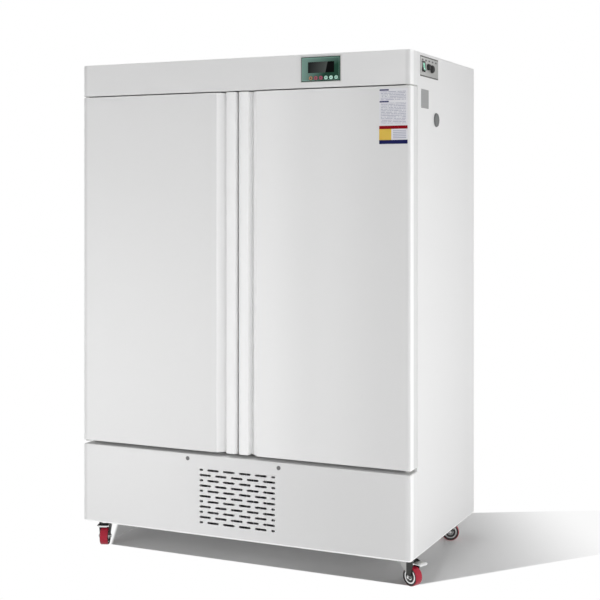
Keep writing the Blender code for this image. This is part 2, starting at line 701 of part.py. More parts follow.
def duct_panel():
    """Air duct at the back of the chamber: a folded cover with an outlet grille and intake slots."""
    x = DUCT_WIDTH / 2
    back = CHAMBER_REAR_Y - FIT
    half = [(x + DUCT_FLANGE, back), (x + DUCT_FLANGE, back - SHEET), (x, back - SHEET), (x, DUCT_FRONT_Y)]
    inner = [(x - SHEET, DUCT_FRONT_Y + SHEET), (x - SHEET, back)]
    outline = [(-a, b) for a, b in half] + half[::-1] + inner[::-1] + [(-a, b) for a, b in inner]
    cover = prism(outline, "Z", CHAMBER_BOTTOM + FIT, CHAMBER_TOP - FIT)
    duct = place(cover, "duct_panel", "stainless")
    join(duct, helper_solid(shelf_cleats(DUCT_FRONT_Y, -1), "duct_cleats"))
    slots = bmesh.new()
    pitch = 2 * OUTLET_RADIUS / OUTLET_SLOTS
    outlet_z = CHAMBER_TOP - OUTLET_BELOW_CEILING
    for i in range(OUTLET_SLOTS):
        rise = (i - (OUTLET_SLOTS - 1) / 2) * pitch
        chord = 2 * (OUTLET_RADIUS ** 2 - rise ** 2) ** 0.5
        outline = slot((0, outlet_z + rise), chord, pitch * 0.55, 2)
        prism(outline, "Y", DUCT_FRONT_Y - SHEET, DUCT_FRONT_Y + 2 * SHEET, bm=slots)
    column_pitch = DUCT_WIDTH / (INTAKE_COLUMNS + 1)
    for row in range(INTAKE_ROWS):
        for column in range(INTAKE_COLUMNS):
            centre_x = (column - (INTAKE_COLUMNS - 1) / 2) * column_pitch
            centre_z = CHAMBER_BOTTOM + INTAKE_ABOVE_FLOOR + row * GRILLE_ROW_PITCH
            outline = slot((centre_x, centre_z), SLOT_LENGTH, SLOT_HEIGHT, 2)
            prism(outline, "Y", DUCT_FRONT_Y - SHEET, DUCT_FRONT_Y + 2 * SHEET, bm=slots)
    cut(duct, helper_solid(slots, "duct_slots"))


def shelves():
    """Four wire shelves, each a frame with bars from front to back."""
    front, rear = MULLION_REAR_Y + FIT, DUCT_FRONT_Y - FIT
    inner_edge, outer_edge = SHELF_GAP / 2, CHAMBER_X - SHELF_SIDE_CLEARANCE
    pitch = (outer_edge - inner_edge - 2 * SHELF_FRAME + SHELF_BAR) / (SHELF_BARS + 1)
    y0, y1 = front + SHELF_FRAME, rear - SHELF_FRAME
    for level, height in zip(("lower", "upper"), SHELF_HEIGHTS):
        z = CHAMBER_BOTTOM + height
        for side_name, side in (("left", -1), ("right", 1)):
            holes = []
            for i in range(SHELF_BARS + 1):
                start = inner_edge + SHELF_FRAME + i * pitch
                holes.append(rectangle((side * start, y0), (side * (start + pitch - SHELF_BAR), y1)))
            outline = rectangle((side * inner_edge, front), (side * outer_edge, rear))
            shelf = prism(outline, "Z", z, z + SHELF_THICKNESS, holes)
            place(shelf, f"shelf_{side_name}_{level}", "stainless")


def fin_core(name, width, front, rear, bottom, top):
    """Heat exchanger: a frame with upright fins that air passes between."""
    inner_width = width - 2 * FIN_FRAME
    pitch = (inner_width + FIN_SHEET) / (FIN_COUNT + 1)
    holes = []
    for i in range(FIN_COUNT + 1):
        left = -inner_width / 2 + i * pitch
        holes.append(rectangle((left, bottom + FIN_FRAME), (left + pitch - FIN_SHEET, top - FIN_FRAME)))
    outline = rectangle((-width / 2, bottom), (width / 2, top))
    return place(prism(outline, "Y", front, rear, holes), name, "aluminium")


def evaporator():
    rear = CHAMBER_REAR_Y - FIT
    bottom = CHAMBER_BOTTOM + EVAPORATOR_ABOVE_FLOOR
    fin_core("evaporator", EVAPORATOR_WIDTH, rear - EVAPORATOR_DEPTH, rear, bottom, bottom + EVAPORATOR_HEIGHT)


def condenser():
    front = FRONT_Y + SHEET + CONDENSER_SETBACK
    bottom = BASE_FLOOR + FIT
    fin_core("condenser", CONDENSER_WIDTH, front, front + CONDENSER_DEPTH, bottom, bottom + CONDENSER_HEIGHT)


def fan_rotor(name, radius, depth, centre, shaft):
    """Bladed rotor that turns on the shaft end behind it; its axis is Y and its front is at -Y."""
    hub = radius * 0.28
    bore = shaft + FIT
    web = depth * 0.15
    profile = [(0, 0), (hub * 0.8, 0), (hub, web), (hub, depth), (bore, depth), (bore, 2 * web), (0, 2 * web)]
    holder = empty(name + "_axis", centre)
    rotor = place(lathe(profile, "Y", ROUND_SIDES, closed=False), name, "black_plastic", holder, smooth=True)
    blades = bmesh.new()
    sheet = SHEET / 2
    for i in range(FAN_BLADES):
        turn = Matrix.Rotation(2 * pi * i / FAN_BLADES, 3, "Y")
        corners = []
        for reach, spread in ((hub - sheet, hub * 0.45), (radius, radius * 0.42)):
            for y_edge, x_edge in ((web, -spread), (depth - web, spread)):
                for thickness in (-sheet, sheet):
                    corners.append(blades.verts.new(turn @ Vector((x_edge, y_edge + thickness, reach))))
        for ring in ((0, 1, 3, 2), (4, 6, 7, 5), (0, 4, 5, 1), (2, 3, 7, 6), (0, 2, 6, 4), (1, 5, 7, 3)):
            blades.faces.new([corners[k] for k in ring])
    join(rotor, helper_solid(blades, name + "_blades", holder))


def motor(name, radius, length, front, centre_x, centre_z, shaft, shaft_length):
    """Fan motor with a shaft towards -Y; front is the face behind the rotor."""
    edge = radius * 0.15
    profile = [(0, front - shaft_length), (shaft, front - shaft_length), (shaft, front), (radius - edge, front)]
    profile += [(radius, front + edge), (radius, front + length), (0, front + length)]
    body = moved(lathe(profile, "Y", ROUND_SIDES, closed=False), (centre_x, 0, centre_z))
    return place(body, name, "black_paint", smooth=True)


def circulation_fan():
    outlet_z = CHAMBER_TOP - OUTLET_BELOW_CEILING
    motor_front = CHAMBER_REAR_Y - FIT - AIR_MOTOR_LENGTH
    rotor_front = motor_front - FIT - AIR_FAN_DEPTH
    shaft_length = FIT + AIR_FAN_DEPTH * 0.6
    motor("circulation_fan_motor", AIR_MOTOR_RADIUS, AIR_MOTOR_LENGTH, motor_front, 0, outlet_z,
          SHAFT_RADIUS, shaft_length)
    fan_rotor("circulation_fan", AIR_FAN_RADIUS, AIR_FAN_DEPTH, (0, rotor_front, outlet_z), SHAFT_RADIUS)


def condenser_fan():
    centre_z = BASE_FLOOR + FIT + CONDENSER_HEIGHT / 2
    condenser_rear = FRONT_Y + SHEET + CONDENSER_SETBACK + CONDENSER_DEPTH
    rotor_front = condenser_rear + COOLING_FAN_GAP
    motor_front = rotor_front + COOLING_FAN_DEPTH + FIT
    body = motor("condenser_fan_motor", COOLING_MOTOR_RADIUS, COOLING_MOTOR_LENGTH, motor_front, 0, centre_z,
                 SHAFT_RADIUS, FIT + COOLING_FAN_DEPTH * 0.6)
    foot_front = motor_front + COOLING_MOTOR_LENGTH / 3
    foot_rear = motor_front + 2 * COOLING_MOTOR_LENGTH / 3
    half = COOLING_MOTOR_RADIUS * 0.6
    pedestal = [(-2 * half, BASE_FLOOR + FIT), (2 * half, BASE_FLOOR + FIT)]
    pedestal += [(2 * half, BASE_FLOOR + FIT + BASE_SHEET), (half, BASE_FLOOR + BASE_SHEET + half / 2)]
    pedestal += [(half, centre_z - half), (-half, centre_z - half)]
    pedestal += [(-half, BASE_FLOOR + BASE_SHEET + half / 2), (-2 * half, BASE_FLOOR + FIT + BASE_SHEET)]
    join(body, helper_solid(prism(pedestal, "Y", foot_front, foot_rear), "condenser_motor_pedestal"))
    fan_rotor("condenser_fan", COOLING_FAN_RADIUS, COOLING_FAN_DEPTH, (0, rotor_front, centre_z), SHAFT_RADIUS)


def compressor():
    """Welded steel pot on a mounting plate with four rubber feet."""
    x, y = COMPRESSOR_PLACE
    foot_top = BASE_FLOOR + FIT + COMPRESSOR_FOOT
    bottom = foot_top + BASE_SHEET
    r, h = COMPRESSOR_RADIUS, COMPRESSOR_HEIGHT
    profile = [(0, bottom - BASE_SHEET / 2), (r * 0.72, bottom - BASE_SHEET / 2), (r * 0.95, bottom + h * 0.14)]
    profile += [(r * 0.95, bottom + h * 0.50), (r, bottom + h * 0.52), (r, bottom + h * 0.58)]
    profile += [(r * 0.95, bottom + h * 0.60), (r * 0.88, bottom + h * 0.80), (r * 0.60, bottom + h * 0.95)]
    profile += [(0, bottom + h)]
    pot = place(moved(lathe(profile, "Z", ROUND_SIDES, closed=False), (x, y, 0)), "compressor", "black_paint", smooth=True)
    plate = prism(centred((2.4 * r, 1.7 * r), (x, y)), "Z", foot_top, bottom)
    join(pot, helper_solid(plate, "compressor_plate"))
    feet = bmesh.new()
    for dx in (-r, r):
        for dy in (-0.65 * r, 0.65 * r):
            outline = circle((x + dx, y + dy), COMPRESSOR_FOOT, 8)
            prism(outline, "Z", BASE_FLOOR + FIT, foot_top + BASE_SHEET / 2, bm=feet)
    join(pot, helper_solid(feet, "compressor_feet"))


def control_panel():
    """Bezel, green face, display window, six keys and the circuit board behind them."""
    centre = (PANEL_X, PANEL_Z)
    seat = FRONT_Y - FIT
    hole = (FACE_SIZE[0] + 2 * FIT, FACE_SIZE[1] + 2 * FIT)
    bezel = prism(centred(BEZEL_SIZE, centre), "Y", FRONT_Y - BEZEL_DEPTH, seat, [centred(hole, centre)])
    place(bezel, "control_bezel", "grey_plastic")
    window_centre = (PANEL_X + WINDOW_OFFSET[0], PANEL_Z + WINDOW_OFFSET[1])
    window_hole = (WINDOW_SIZE[0] + 2 * FIT, WINDOW_SIZE[1] + 2 * FIT)
    key_z = PANEL_Z + KEY_OFFSET[1]
    first_x = PANEL_X + KEY_OFFSET[0] - (KEY_COUNT - 1) / 2 * KEY_PITCH
    key_places = [(first_x + i * KEY_PITCH, key_z) for i in range(KEY_COUNT)]
    holes = [centred(window_hole, window_centre)]
    holes += [circle(spot, KEY_RADIUS + 2 * FIT, 12) for spot in key_places]
    face = prism(centred(FACE_SIZE, centre), "Y", FRONT_Y - FACE_DEPTH, seat, holes)
    place(face, "control_face", "green_plastic")
    window = prism(centred(WINDOW_SIZE, window_centre), "Y", FRONT_Y - WINDOW_DEPTH, seat)
    place(window, "display_window", "display")
    finishes = ["orange_key", "red_key", "red_key", "pale_key", "pale_key", "pale_key"]
    face_front = -FACE_DEPTH
    for i, (x, z) in enumerate(key_places):
        flange = KEY_RADIUS + KEY_FLANGE
        edge = KEY_PROUD / 4
        profile = [(0, face_front - KEY_PROUD), (KEY_RADIUS - edge, face_front - KEY_PROUD)]
        profile += [(KEY_RADIUS, face_front - KEY_PROUD + edge), (KEY_RADIUS, 0), (flange, 0)]
        profile += [(flange, KEY_FLANGE_DEPTH), (KEY_RADIUS / 2, KEY_FLANGE_DEPTH)]
        profile += [(KEY_RADIUS / 2, KEY_STEM), (0, KEY_STEM)]
        place(lathe(profile, "Y", 12, closed=False), f"key_{i + 1}", finishes[i], at=(x, FRONT_Y, z), smooth=True)
    control_board(centre)


def control_board(centre):
    """Circuit board on four pillars behind the header's front sheet."""
    front = FRONT_Y + BOARD_BEHIND_FRONT
    rear = front + BOARD_SHEET
    board = place(prism(centred(BOARD_SIZE, centre), "Y", front, rear), "control_board", "circuit_board")
    parts = bmesh.new()
    for dx, dz in ((-1, -1), (-1, 1), (1, -1), (1, 1)):
        half_x = (BOARD_SIZE[0] + PANEL_CUT_OUT[0]) / 4
        half_z = (BOARD_SIZE[1] + PANEL_CUT_OUT[1]) / 4
        outline = circle((centre[0] + dx * half_x, centre[1] + dz * half_z), 0.003, 8)
        prism(outline, "Y", FRONT_Y + SHEET + FIT, front + BOARD_SHEET / 2, bm=parts)
    for dx, dz, width, height, depth in ((-0.045, 0.015, 0.036, 0.034, 0.026), (0.0, 0.016, 0.020, 0.018, 0.016),
                                         (0.028, 0.016, 0.020, 0.018, 0.016), (0.010, -0.018, 0.080, 0.014, 0.010)):
        outline = centred((width, height), (centre[0] + dx, centre[1] + dz))
        prism(outline, "Y", rear - BOARD_SHEET / 2, rear + depth, bm=parts)
    join(board, helper_solid(parts, "board_components"))


def switch_panel():
    """Plate on the right side with the mains rocker, a fuse holder and a socket."""
    centre = (SWITCH_PLATE_Y, SWITCH_Z)
    rocker = (centre[0] + ROCKER_OFFSET[0], centre[1] + ROCKER_OFFSET[1])
    fuse = (centre[0] + FUSE_OFFSET[0], centre[1] + FUSE_OFFSET[1])
    socket = (centre[0] + SOCKET_OFFSET[0], centre[1] + SOCKET_OFFSET[1])
    window = (ROCKER_SIZE[0] + 2 * FIT, ROCKER_WINDOW_HEIGHT)
    holes = [centred(window, rocker)]
    holes += [circle(spot, FITTING_BODY + 2 * FIT, ROUND_SIDES) for spot in (fuse, socket)]
    seat = SIDE_X + FIT
    plate = place(prism(centred(SWITCH_PLATE_SIZE, centre), "X", seat, SIDE_X + SHEET, holes),
                  "switch_plate", "aluminium")
    rim = (window[0] + 2 * ROCKER_RIM, window[1] + 2 * ROCKER_RIM)
    frame = prism(centred(rim, rocker), "X", SIDE_X + SHEET / 2, SIDE_X + SHEET + ROCKER_RIM_PROUD,
                  [centred(window, rocker)])
    join(plate, helper_solid(frame, "rocker_frame"))
    mains_rocker(rocker)
    outer = SIDE_X + SHEET + FIT
    for name, spot, radius in (("fuse_holder", fuse, FUSE_RADIUS), ("aux_socket", socket, SOCKET_RADIUS)):
        inner_end = SIDE_X - FITTING_LENGTH
        profile = [(0, inner_end), (FITTING_BODY, inner_end), (FITTING_BODY, outer), (radius, outer)]
        profile += [(radius, outer + FITTING_PROUD * 0.7), (radius * 0.85, outer + FITTING_PROUD)]
        profile += [(0, outer + FITTING_PROUD)]
        fitting = moved(lathe(profile, "X", ROUND_SIDES, closed=False), (0, spot[0], spot[1]))
        place(fitting, name, "black_plastic", smooth=True)


def mains_rocker(centre):
    """Rocker that tilts about Y; it rests tilted to one side."""
    half = ROCKER_SIZE[1] / 2
    pivot_x = SIDE_X - FIT
    tip = SHEET + ROCKER_PROUD
    outline = [(tip, -half), (tip - ROCKER_DIP, 0), (tip, half), (-ROCKER_DEPTH / 2, half * 0.75)]
    outline += [(-ROCKER_DEPTH / 2, -half * 0.75)]
    axis = empty("rocker_axis", (pivot_x, centre[0], centre[1]))
    body = prism(outline, "Y", -ROCKER_SIZE[0] / 2, ROCKER_SIZE[0] / 2)
    rocker = place(body, "mains_rocker", "lit_green", axis)
    rocker.rotation_euler = (0, radians(-ROCKER_TILT), 0)


def access_port():
    """Collar through the right wall, and the plug that closes it."""
    outer = PORT_RADIUS + PORT_WALL
    flange_rear = SIDE_X + FIT
    flange_front = flange_rear + SHEET
    profile = [(PORT_RADIUS, CHAMBER_X), (outer, CHAMBER_X), (outer, flange_rear)]
    profile += [(PORT_FLANGE_RADIUS, flange_rear), (PORT_FLANGE_RADIUS, flange_front), (PORT_RADIUS, flange_front)]
    collar = moved(lathe(profile, "X", WHEEL_SIDES), (0, PORT_Y, PORT_Z))
    place(collar, "port_collar", "grey_plastic", smooth=True)
    cap_rear = FIT
    stopper = PORT_RADIUS - PLUG_CLEARANCE
    profile = [(0, -PLUG_LENGTH), (stopper * 0.94, -PLUG_LENGTH), (stopper, cap_rear)]
    profile += [(PLUG_CAP_RADIUS, cap_rear), (PLUG_CAP_RADIUS, cap_rear + PLUG_CAP_DEPTH * 0.6)]
    profile += [(PLUG_CAP_RADIUS * 0.93, cap_rear + PLUG_CAP_DEPTH), (0, cap_rear + PLUG_CAP_DEPTH)]
    place(lathe(profile, "X", WHEEL_SIDES, closed=False), "port_plug", "grey_rubber",
          at=(flange_front, PORT_Y, PORT_Z), smooth=True)


def hinge_bracket(name, side, upper):
    """Plate in the gap at one end of a door, with its leg on the cabinet's face and the pivot pin."""
    if upper:
        plate_low = DOOR_TOP + BRACKET_CLEARANCE
        plate_high = plate_low + TOP_BRACKET_SHEET
        leg_low, leg_high = plate_low, plate_high + BRACKET_LEG
        pin_low, pin_high = DOOR_TOP - PIN_LENGTH, plate_high - FIT
    else:
        plate_high = DOOR_BOTTOM - BRACKET_CLEARANCE
        plate_low = plate_high - BOTTOM_BRACKET_SHEET
        leg_low, leg_high = plate_low - BRACKET_LEG, plate_high
        pin_low, pin_high = plate_low + FIT, DOOR_BOTTOM + PIN_LENGTH
    near, far = SIDE_X - BRACKET_REACH, SIDE_X - BRACKET_EDGE
    leg_front, leg_rear = FACE_Y - LEG_SHEET, FACE_Y - FIT
    knuckle = 0.010
    outline = [(near, leg_rear), (near, leg_front)]
    outline += arc((PIVOT_X, PIVOT_Y), knuckle, 180, 360)
    outline += [(far, leg_front), (far, leg_rear)]
    outline = [(side * x, y) for x, y in outline]
    bracket = place(prism(outline, "Z", plate_low, plate_high), name, "zinc")
    x0, x1 = sorted((side * near, side * (far - 2 * BRACKET_EDGE)))
    leg = block((x0, leg_front, leg_low), (x1, leg_rear, leg_high))
    join(bracket, helper_solid(leg, name + "_leg"))
    pin = prism(circle((side * PIVOT_X, PIVOT_Y), PIN_RADIUS, ROUND_SIDES), "Z", pin_low, pin_high)
    join(bracket, helper_solid(pin, name + "_pin"))


def crown_corner(crown, half, radius):
    """Depth below the crest, and angle at the crest's centre, of a corner arc that runs into the crown."""
    reach = half - radius
    return crown - sqrt((crown - radius) ** 2 - reach ** 2), degrees(asin(reach / (crown - radius)))


def door_outline():
    """Plan of a right door seen from its pivot: x runs to the side edge, y to the rear.

    A crowned strip lies along the meeting edge. Beside it the finger groove drops steeply and then
    slopes up to the flat face. The first and last points are the rear corners.
    """
    side, front, rear = SIDE_X - PIVOT_X, FRONT_Y - PIVOT_Y, DOOR_REAR_Y - PIVOT_Y
    edge = DOORS_GAP / 2 - PIVOT_X
    strip_side = edge + HANDLE_STRIP
    half = HANDLE_STRIP / 2
    crown = (half ** 2 + STRIP_CROWN ** 2) / (2 * STRIP_CROWN)
    meeting_depth, meeting_angle = crown_corner(crown, half, STRIP_RADIUS)
    rim_depth, rim_angle = crown_corner(crown, half, STRIP_RIM)
    pocket = (strip_side + GROOVE_RADIUS, front + GROOVE_DEPTH - GROOVE_RADIUS)
    roll = (strip_side + HANDLE_GROOVE, front + ROLL_RADIUS)
    run, fall = roll[0] - pocket[0], pocket[1] - roll[1]
    slope = degrees(atan2(fall, run) + asin((ROLL_RADIUS + GROOVE_RADIUS) / hypot(run, fall)))
    points = [(edge, rear)]
    points += arc((edge + STRIP_RADIUS, front + meeting_depth), STRIP_RADIUS, 180, 270 - meeting_angle)
    points += arc((edge + half, front + crown), crown, 270 - meeting_angle, 270 + rim_angle, 6)[1:-1]
    points += arc((strip_side - STRIP_RIM, front + rim_depth), STRIP_RIM, 270 + rim_angle, 360, 4)
    points += arc(pocket, GROOVE_RADIUS, 180, 90 - slope, 5)
    points += arc(roll, ROLL_RADIUS, 270 - slope, 270, 5)
    points += arc((side - CORNER_RADIUS, front + CORNER_RADIUS), CORNER_RADIUS, 270, 360)
    points += [(side, rear)]
    return points


def mirrored(outline, side):
    return [(side * x, y) for x, y in outline]


def door(side_name, side):
    """One door leaf: outer skin with the formed handle, inner lining, seal and lamp."""
    height = DOOR_TOP - DOOR_BOTTOM
    axis = empty(f"{side_name}_door_axis", (side * PIVOT_X, PIVOT_Y, DOOR_BOTTOM))
    outline = door_outline()
    skin = place(prism(mirrored(outline, side), "Z", 0, height), f"{side_name}_door_skin", "white_paint", axis)
    inner = offset(outline, SHEET)
    rear = DOOR_REAR_Y - PIVOT_Y
    inner[0] = (inner[0][0], rear + SHEET)
    inner[-1] = (inner[-1][0], rear + SHEET)
    hollow = prism(mirrored(inner, side), "Z", SHEET, height - SHEET)
    cut(skin, helper_solid(hollow, f"{side_name}_door_hollow", axis))
    bosses = bmesh.new()
    for low, high in ((SHEET / 2, BOSS_LENGTH), (height - BOSS_LENGTH, height - SHEET / 2)):
        prism(circle((0, 0), BOSS_RADIUS, ROUND_SIDES), "Z", low, high, bm=bosses)
    join(skin, helper_solid(bosses, f"{side_name}_door_bosses", axis))
    bores = bmesh.new()
    bore = (PIN_RADIUS + PIN_CLEARANCE) / cos(pi / ROUND_SIDES)
    depth = PIN_LENGTH + BRACKET_CLEARANCE
    for low, high in ((-SHEET, depth), (height - depth, height + SHEET)):
        prism(circle((0, 0), bore, ROUND_SIDES), "Z", low, high, bm=bores)
    cut(skin, helper_solid(bores, f"{side_name}_door_bores", axis))
    door_lining(side_name, side, axis, height)


def door_lining(side_name, side, axis, height):
    """Pan that closes the back of a door, the seal round it and the lamp on it."""
    rear = DOOR_REAR_Y - PIVOT_Y
    gap = SHEET + FIT
    edge_low, edge_high = DOORS_GAP / 2 + gap - PIVOT_X, SIDE_X - gap - PIVOT_X
    plateau_low = MULLION_WIDTH / 2 + PLATEAU_MARGIN - PIVOT_X
    plateau_high = CHAMBER_X - PLATEAU_MARGIN - PIVOT_X
    bottom = CHAMBER_BOTTOM + PLATEAU_MARGIN - DOOR_BOTTOM
    top = CHAMBER_TOP - PLATEAU_MARGIN - DOOR_BOTTOM
    rim = (edge_low, edge_high, gap, height - gap)
    outer = (plateau_low, plateau_high, bottom, top)
    inner = (plateau_low + SHEET, plateau_high - SHEET, bottom + SHEET, top - SHEET)
    crest = rear + PLATEAU_HEIGHT
    rings = [(*inner, crest - SHEET), (*inner, rear - SHEET), (*rim, rear - SHEET)]
    rings += [(*rim, rear), (*outer, rear), (*outer, crest)]
    rings = [(side * x0, side * x1, z0, z1, y) for x0, x1, z0, z1, y in rings]
    place(ring_chain(rings), f"{side_name}_door_liner", "white_plastic", axis)
    seal_low = edge_low - gap + GASKET_INSET
    seal_high = SIDE_X - SIDE_FLANGE - GASKET_INSET - PIVOT_X
    seal_bottom = CHAMBER_BOTTOM - GASKET_WIDTH - GASKET_INSET - DOOR_BOTTOM
    seal_top = CHAMBER_TOP + GASKET_WIDTH + GASKET_INSET - DOOR_BOTTOM
    outer_ring = rectangle((side * seal_low, seal_bottom), (side * seal_high, seal_top))
    inner_ring = rectangle((side * (seal_low + GASKET_WIDTH), seal_bottom + GASKET_WIDTH),
                           (side * (seal_high - GASKET_WIDTH), seal_top - GASKET_WIDTH))
    seal = prism(outer_ring, "Y", rear + FIT, rear + SEAL_GAP - FIT, [inner_ring])
    place(seal, f"{side_name}_door_gasket", "grey_rubber", axis)
    centre = side * (plateau_low + plateau_high) / 2
    start = crest + FIT
    half = LAMP_WIDTH / 2
    radius = half * 0.8
    tube_centre = start + LAMP_DEPTH - radius
    outline = [(centre - half, start), (centre + half, start), (centre + half, start + LAMP_BASE)]
    outline += arc((centre, tube_centre), radius, -20, 200, 8)
    outline += [(centre - half, start + LAMP_BASE)]
    low = (bottom + top - LAMP_LENGTH) / 2
    place(prism(outline, "Z", low, low + LAMP_LENGTH), f"{side_name}_door_lamp", "lamp", axis)


def caster_places():
    """Swivel axis of each caster, in plan."""
    x = SIDE_X - CASTER_INSET_SIDE
    front, rear = FRONT_Y + CASTER_INSET_FRONT, REAR_Y - CASTER_INSET_REAR
    return {"front_right": (x, front), "front_left": (-x, front), "rear_right": (x, rear), "rear_left": (-x, rear)}


def caster_fork(name, swivel, has_brake):
    """Pressed fork: round head, crown and two legs, with the axle and any brake rod through them."""
    head_top = BODY_BOTTOM - CASTER_PLATE_SHEET - RACEWAY_DEPTH - FIT
    crown_top = head_top - FORK_HEAD_DEPTH
    crown_bottom = crown_top - CROWN_SHEET
    leg_inner = WHEEL_WIDTH / 2 + WHEEL_GAP
    leg_outer = leg_inner + FORK_SHEET
    head = prism(circle((0, 0), FORK_HEAD_RADIUS, ROUND_SIDES), "Z", crown_top - CROWN_SHEET / 2, head_top)
    fork = place(head, name, "black_paint", swivel)
    crown_rear = PEDAL_PIVOT[0] - 2 * PEDAL_ROD_RADIUS
    crown_plan = rectangle((-FORK_HEAD_RADIUS, -leg_outer), (crown_rear - FORK_SHEET, leg_outer))
    crown = prism(crown_plan, "Z", crown_bottom, crown_top)
    join(fork, helper_solid(crown, name + "_crown", swivel))
    eye = 2.2 * AXLE_RADIUS
    leg = [(-FORK_HEAD_RADIUS + FIT, crown_top - FIT), (TRAIL - eye, WHEEL_RADIUS + eye)]
    leg += arc((TRAIL, WHEEL_RADIUS), eye, 160, 380, 4)
    leg += [(PEDAL_PIVOT[0] + 2 * PEDAL_ROD_RADIUS, PEDAL_PIVOT[1] - 2 * PEDAL_ROD_RADIUS)]
    leg += [(PEDAL_PIVOT[0] + 2 * PEDAL_ROD_RADIUS, PEDAL_PIVOT[1] + 2 * PEDAL_ROD_RADIUS)]
    leg += [(crown_rear, crown_top - FIT)]
    legs = bmesh.new()
    for low in (-leg_outer + FIT / 3, leg_inner):
        prism(leg, "Y", low, low + FORK_SHEET - FIT / 3, bm=legs)
    join(fork, helper_solid(legs, name + "_legs", swivel))
    end = leg_outer + AXLE_HEAD
    profile = [(0, -end), (AXLE_HEAD_RADIUS, -end), (AXLE_HEAD_RADIUS, -leg_outer + FORK_SHEET / 2)]
    profile += [(AXLE_RADIUS, -leg_outer + FORK_SHEET / 2)]
    profile += [(radius, -y) for radius, y in reversed(profile)]
    axle = moved(lathe(profile, "Y", 10, closed=False), (TRAIL, 0, WHEEL_RADIUS))
    join(fork, helper_solid(axle, name + "_axle", swivel))
    if has_brake:
        rod = prism(circle(PEDAL_PIVOT, PEDAL_ROD_RADIUS, 12), "Y", -leg_inner - FORK_SHEET / 2,
                    leg_inner + FORK_SHEET / 2)
        join(fork, helper_solid(rod, name + "_brake_rod", swivel))


def caster_wheel(name, swivel):
    """Wheel with a domed tread, a recessed web and a hub, standing on one of its flats."""
    grow = 1 / cos(pi / WHEEL_SIDES)
    half = WHEEL_WIDTH / 2
    hub_half = half + WHEEL_GAP - FIT
    rim = WHEEL_RADIUS - TREAD_DEPTH
    web = half * 0.5
    bore = (AXLE_RADIUS + FIT) * grow
    profile = [(bore, -hub_half), (HUB_RADIUS, -hub_half), (HUB_RADIUS, -web), (rim, -half * 0.9)]
    profile += [(WHEEL_RADIUS * 0.93, -half), (WHEEL_RADIUS * grow, -half * 0.55)]
    profile += [(radius, -y) for radius, y in reversed(profile)]
    wheel = lathe(profile, "Y", WHEEL_SIDES, half_step=True)
    axle = empty(name + "_axis", (TRAIL, 0, WHEEL_RADIUS), parent=swivel)
    place(wheel, name, "red_tread", axle, smooth=True)


def brake_pedal(name, swivel):
    """Pressed pedal that turns on the rod at the rear of the fork."""
    pivot_x, pivot_z = PEDAL_PIVOT
    leg_inner = WHEEL_WIDTH / 2 + WHEEL_GAP
    tongue = leg_inner - 2 * FIT
    ear_end = pivot_x + 3 * PEDAL_ROD_RADIUS
    half = PEDAL_WIDTH / 2
    axis = empty(name + "_axis", (pivot_x, 0, pivot_z), parent=swivel)
    barrel = 2 * PEDAL_ROD_RADIUS
    bore = (PEDAL_ROD_RADIUS + FIT) / cos(pi / 12)
    outline = [(0, -tongue), (ear_end - pivot_x, -tongue), (ear_end - pivot_x, -half)]
    outline += [(PEDAL_REACH - pivot_x - PEDAL_SHEET, -half), (PEDAL_REACH - pivot_x, -half * 0.8)]
    outline += [(x, -y) for x, y in reversed(outline)]
    plate = prism(outline, "Z", barrel - PEDAL_SHEET, barrel)
    pedal = place(plate, name, "zinc", axis)
    hub = prism(circle((0, 0), barrel + FIT, 12), "Y", -tongue, tongue)
    join(pedal, helper_solid(hub, name + "_barrel", axis))
    hole = prism(circle((0, 0), bore, 12), "Y", -2 * tongue, 2 * tongue)
    cut(pedal, helper_solid(hole, name + "_bore", axis))


def casters():
    for corner, (x, y) in caster_places().items():
        swivel = empty(f"caster_{corner}_swivel", (x, y, 0), HEADINGS[corner])
        has_brake = corner.startswith("front")
        caster_fork(f"caster_fork_{corner}", swivel, has_brake)
        caster_wheel(f"caster_wheel_{corner}", swivel)
        if has_brake:
            brake_pedal(f"brake_pedal_{corner}", swivel)


def main():
    for old in list(bpy.data.objects):
        bpy.data.objects.remove(old)
    base_frame()
    side_panels()
    top_panel()
    rear_panel()
    header_panel()
    lower_front_panel()
    chamber_liner()
    insulation()
    mullion()
    duct_panel()
    shelves()
    evaporator()
    condenser()
    circulation_fan()
    condenser_fan()
    compressor()
    control_panel()
    switch_panel()
    access_port()
    for side_name, side in (("left", -1), ("right", 1)):
        hinge_bracket(f"{side_name}_hinge_top", side, True)
        hinge_bracket(f"{side_name}_hinge_bottom", side, False)
        door(side_name, side)
    casters()


main()
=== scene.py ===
"""Looks of the two-door light incubator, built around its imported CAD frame."""

